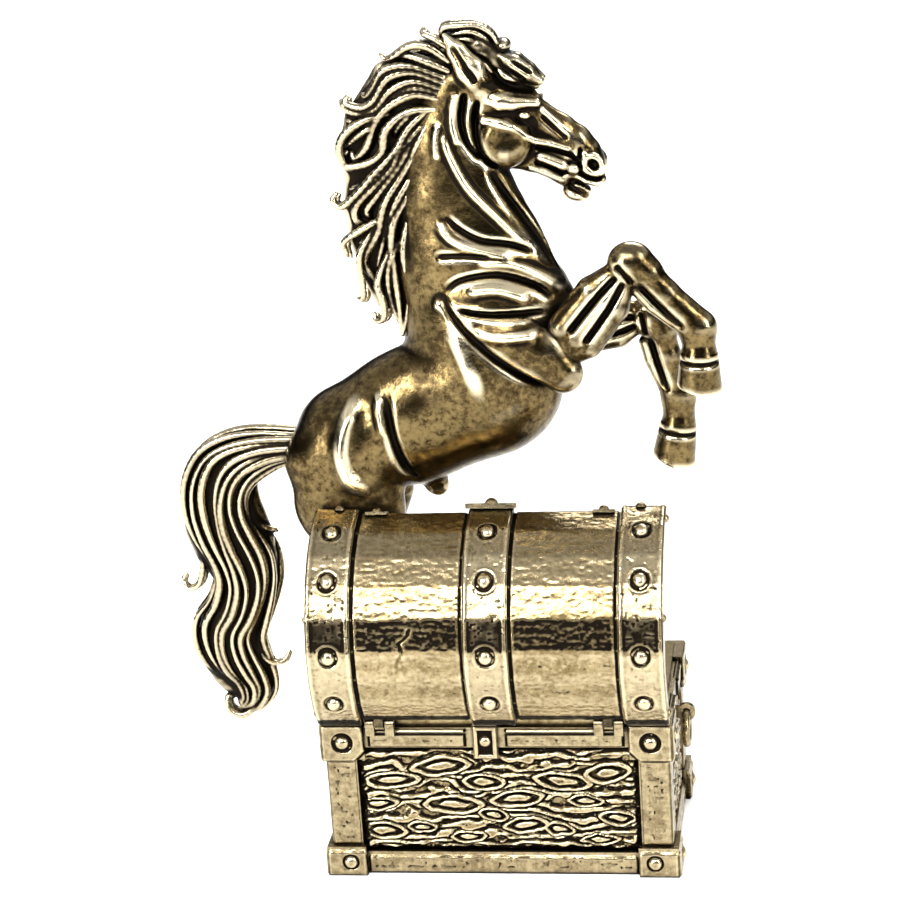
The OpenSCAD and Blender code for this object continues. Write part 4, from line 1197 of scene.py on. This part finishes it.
def bracket_skins():
    """Raised lips on the top and foot brackets, with a dish round each rivet, as one object."""
    top_low, (top_x, top_y, top_z) = mm_box("top_brackets")
    foot_x, foot_y, foot_z = mm_box("foot_brackets")[1]
    rivet_in = 2.2              # from the box's corner
    parts = []
    for half_x, half_y, width, z0, z1, cut, rivet, field in (
            (top_x, top_y, 4.4, top_low[2], top_z, 1.1, 1.9, 1.2),
            (foot_x, foot_y, 4.1, 0.0, foot_z, 0.0, 1.65, 0.95)):
        for face in ("hinge", "front", "right", "left"):
            long_side = face in ("hinge", "front")
            half, out = (half_x, half_y) if long_side else (half_y, half_x)
            for side in (-1, 1):
                u_out, u_in = side * (half - 0.03), side * (half - width)
                u0, u1 = min(u_out, u_in), max(u_out, u_in)
                rivet_u = side * ((18.0 if long_side else 10.8) - rivet_in)
                rivet_v = z1 - rivet if cut else z0 + rivet

                def height(u, v):
                    edge = inside(u, v, u0, u1, z0, z1)
                    if cut:
                        edge = np.minimum(edge, (np.abs(u - u_in) + (v - z0) - cut) / 1.414)
                    r = np.hypot(u - rivet_u, v - rivet_v)
                    h = 0.2 * ramp_up(edge, -0.02, 0.25) - 0.18 * ramp_up(-r, -field, -field + 0.2)
                    h = h + 0.03 * noise(u, v, 0.5, 0.5, 71)
                    if not cut:
                        h = h - 0.38 * np.clip((v - z1 + 0.7) / 0.7, 0, 1)
                    h = np.where(r < 0.72, np.maximum(h, 0.02 + rivet_head(r, 0.72, 0.55)), h)
                    return np.where(edge < -0.01, -0.5, h)

                def tone_marks(u, v):
                    r = np.hypot(u - rivet_u, v - rivet_v)
                    return 1.5 * ramp_up(-r, -field, -field + 0.15) * ramp_up(r, 0.66, 0.76)
                parts.append(skin_mesh((u0, u1), (z0 + 0.02, z1 - 0.02), 0.09, wall(face, out),
                                       height, 0.35, tone_marks))
    mesh_object("bracket_skins", merged(parts), "chest", "strap_brass")


def plate_skin():
    """The small plate under the lid's middle band: a lip round a black field with one rivet."""
    (x0, y0, z0), (x1, _, z1) = mm_box("hinge_side_plate")
    middle, rivet_v = (x0 + x1) / 2, z1 - 1.7

    def height(u, v):
        edge = inside(u, v, x0, x1, z0, z1)
        r = np.hypot(u - middle, v - rivet_v)
        h = 0.22 * ramp_up(edge, -0.02, 0.2) - 0.2 * ramp_up(edge, 0.42, 0.6)
        return np.maximum(h, 0.02 + rivet_head(r, 0.62, 0.5) * (r < 0.62))

    def tone_marks(u, v):
        field = ramp_up(inside(u, v, x0, x1, z0, z1), 0.42, 0.55)
        return 1.5 * field * ramp_up(np.hypot(u - middle, v - rivet_v), 0.58, 0.66)
    mesh_object("hinge_plate_skin",
                skin_mesh((x0 + 0.02, x1 - 0.02), (z0 + 0.02, z1 - 0.1), 0.08, wall("hinge", -y0),
                          height, 0.3, tone_marks),
                "chest", "strap_brass")


def coin(centre, radius, thick, normal, turn):
    """A coin with a raised rim and a plain boss, as a turned profile."""
    profile = np.array([(0, 0.62), (0.42, 0.62), (0.5, 0.4), (0.78, 0.4), (0.84, 0.9), (0.95, 1.0),
                        (1.0, 0.7), (1.0, -0.7), (0.95, -1.0), (0.84, -0.9), (0.78, -0.4),
                        (0.5, -0.4), (0.42, -0.62), (0, -0.62)])
    count = 20
    angles = np.linspace(0, 2 * np.pi, count, endpoint=False) + turn
    rings = np.stack([np.outer(profile[:, 0] * radius, np.cos(angles)),
                      np.outer(profile[:, 0] * radius, np.sin(angles)),
                      np.outer(profile[:, 1] * thick / 2, np.ones(count))], -1).reshape(-1, 3)
    n = unit(np.array(normal))
    a = unit(np.cross([0, 1, 0.1], n))
    b = np.cross(n, a)
    points = rings @ np.array([a, b, n]) + np.array(centre)
    index = np.arange(len(profile) * count).reshape(len(profile), count)
    after = np.roll(index, -1, axis=1)
    quads = np.stack([index[1:], after[1:], after[:-1], index[:-1]], -1).reshape(-1, 4)
    return points, quads, np.zeros(len(points))


def hoard():
    """Coins heaped over the mound that the hoofs stand on."""
    rng = np.random.default_rng(7)
    parts = []
    coins, edge_z = 330, 9.5
    for _ in range(coins):
        x = rng.uniform(heap_low[0] + 1.2, heap_high[0] - 1.2)
        y = rng.uniform(heap_low[1] + 1.2, heap_high[1] - 1.2)
        inner_x = np.clip(x, heap_low[0] + 3, heap_high[0] - 6)
        inner_y = np.clip(y, heap_low[1] + 2, heap_high[1] - 0.8)
        far_x = abs(x - inner_x) / (3 if x < 0 else 6)
        far_y = abs(y - inner_y) / (2 if y < 0 else 0.8)
        slope = min(max(far_x, far_y), 1)
        z = HEAP_TOP + (edge_z - HEAP_TOP) * slope + rng.uniform(-0.15, 0.25)
        tilt = rng.normal(0, 0.28, 2)
        parts.append(coin((x, y, z), rng.uniform(0.95, 1.3), 0.3,
                          (tilt[0] + 0.4 * slope * np.sign(x - inner_x), tilt[1], 1),
                          rng.uniform(0, 6)))
    points, quads, _ = merged(parts)
    mesh_object("coins", (points, quads, None), "chest", "treasure_brass")


horse()
mane()
forelock()
tail()
panels()
lid_planks()
lid_bands()
base_bars()
bracket_skins()
plate_skin()
hoard()

# how far the cast edges are worn round, in millimetres
BEVELS = {"bottom_rails_long": 0.4, "bottom_rails_end": 0.4, "foot_brackets": 0.25,
          "top_brackets": 0.12, "corner_posts": 0.15, "lock_plate": 0.12, "lid_hasp": 0.15,
          "lid_edge_studs": 0.1, "hinge_knuckles_base": 0.2, "hinge_knuckles_lid": 0.2,
          "ring_staple_left": 0.1, "ring_staple_right": 0.1}

for node_name, cad_node in frame["nodes"].items():
    slot_name = next(s["material_slot"] for s in frame["record"]["subparts"]
                     if s["node"] == node_name)
    cad_node.data.materials.clear()
    cad_node.data.materials.append(MATERIALS[slot_name])
    if node_name in BEVELS:
        bevel = cad_node.modifiers.new("worn_edges", "BEVEL")
        bevel.width = BEVELS[node_name] * MM
        bevel.segments = 2
        bevel.limit_method = "ANGLE"
        bevel.angle_limit = math.radians(50)


# ---------------------------------------------------------------- stage, lights and camera

def stage_sheet(name, points, faces, material):
    """A surface of the studio, which isn't part of the object."""
    mesh = bpy.data.meshes.new(name)
    mesh.from_pydata(points, [], faces)
    mesh.materials.append(material)
    sheet = bpy.data.objects.new(name, mesh)
    bpy.context.scene.collection.objects.link(sheet)
    return sheet


def floor():
    """Plain pale paper."""
    size = 3.0
    paper = bpy.data.materials.new("paper")
    paper.use_nodes = True
    shader = paper.node_tree.nodes["Principled BSDF"]
    shader.inputs["Base Color"].default_value = (0.93, 0.93, 0.92, 1)
    shader.inputs["Roughness"].default_value = 0.95
    shader.inputs["Specular IOR Level"].default_value = 0.1
    stage_sheet("studio_floor", [(-size, -size, 0), (size, -size, 0), (size, size, 0),
                                 (-size, size, 0)], [(0, 1, 2, 3)], paper)


def backdrop():
    """White wall all round the stage. The brass doesn't mirror it, so that its blacks stay."""
    radius, height, count = 0.6, 0.6, 48
    turns = [2 * math.pi * i / count for i in range(count)]
    points = [(radius * math.cos(a), radius * math.sin(a), z) for z in (-0.01, height)
              for a in turns]
    faces = [(i, (i + 1) % count, count + (i + 1) % count, count + i) for i in range(count)]
    made = Nodes("white_wall")
    emission = made.add("ShaderNodeEmission", Color=(1, 1, 1, 1), Strength=1.0)
    out = made.add("ShaderNodeOutputMaterial")
    made.links.new(emission.outputs[0], out.inputs["Surface"])
    sheet = stage_sheet("studio_wall", points, faces, made.material)
    sheet.visible_glossy = False
    sheet.visible_diffuse = False
    sheet.visible_shadow = False


def sky():
    """Studio dome: dark round the horizon, a bright soft ring above it, dimmer overhead."""
    world = bpy.data.worlds.new("studio")
    world.use_nodes = True
    nodes, links = world.node_tree.nodes, world.node_tree.links
    direction = nodes.new("ShaderNodeTexCoord")
    split = nodes.new("ShaderNodeSeparateXYZ")
    links.new(direction.outputs["Generated"], split.inputs[0])
    ramp = nodes.new("ShaderNodeValToRGB")
    set_stops(ramp, [(0.0, 0.01), (0.30, 0.02), (0.46, 0.50), (0.62, 0.95), (0.78, 0.45),
                     (0.90, 0.65), (1.0, 0.40)])
    links.new(split.outputs["Z"], ramp.inputs[0])
    background = nodes["Background"]
    links.new(ramp.outputs[0], background.inputs[0])
    background.inputs[1].default_value = 1.25
    bpy.context.scene.world = world


def bearing(azimuth, elevation):
    """The direction at an azimuth, from -Y towards +X, and an elevation, both in degrees."""
    a, e = math.radians(azimuth), math.radians(elevation)
    return Vector((math.sin(a) * math.cos(e), -math.cos(a) * math.cos(e), math.sin(e)))


def lamp(name, azimuth, elevation, distance, width, height, watts):
    """Soft box that looks at the object."""
    away = bearing(azimuth, elevation)
    data = bpy.data.lights.new(name, "AREA")
    data.shape = "RECTANGLE"
    data.size, data.size_y = width, height
    data.energy = watts
    box = bpy.data.objects.new(name, data)
    box.location = Vector((0, 0, 0.045)) + away * distance
    box.rotation_euler = (-away).to_track_quat("-Z", "Y").to_euler()
    bpy.context.scene.collection.objects.link(box)


def lights():
    """A key light from above the hinge side, a strip light at each side, and one from behind."""
    lamp("key", -12, 38, 0.5, 0.24, 0.11, 2.2)
    lamp("left", -38, 24, 0.5, 0.06, 0.40, 3.0)
    lamp("right", 58, 26, 0.5, 0.05, 0.36, 2.0)
    lamp("behind", 170, 45, 0.5, 0.30, 0.14, 2.0)


def camera():
    """Stands where the photograph was taken from: on the hinge side, a little above and to the
    right of it."""
    azimuth, elevation, roll = 9.06, 19.36, math.radians(-3.87)
    distance, aim = 0.300, Vector((-0.0043, 0, 0.0429))
    back = bearing(azimuth, elevation)
    right = bearing(azimuth + 90, 0)
    up = back.cross(right)
    x = right * math.cos(roll) + up * math.sin(roll)
    y = -right * math.sin(roll) + up * math.cos(roll)
    data = bpy.data.cameras.new("camera")
    data.lens = 117.5
    data.sensor_width = 36
    data.clip_start = 0.01
    data.clip_end = 10
    cam = bpy.data.objects.new("camera", data)
    turn = Matrix((x, y, back)).transposed().to_4x4()
    cam.matrix_world = Matrix.Translation(aim + back * distance) @ turn
    bpy.context.scene.collection.objects.link(cam)
    bpy.context.scene.camera = cam


floor()
backdrop()
sky()
lights()
camera()
bpy.context.scene.view_settings.view_transform = "Standard"
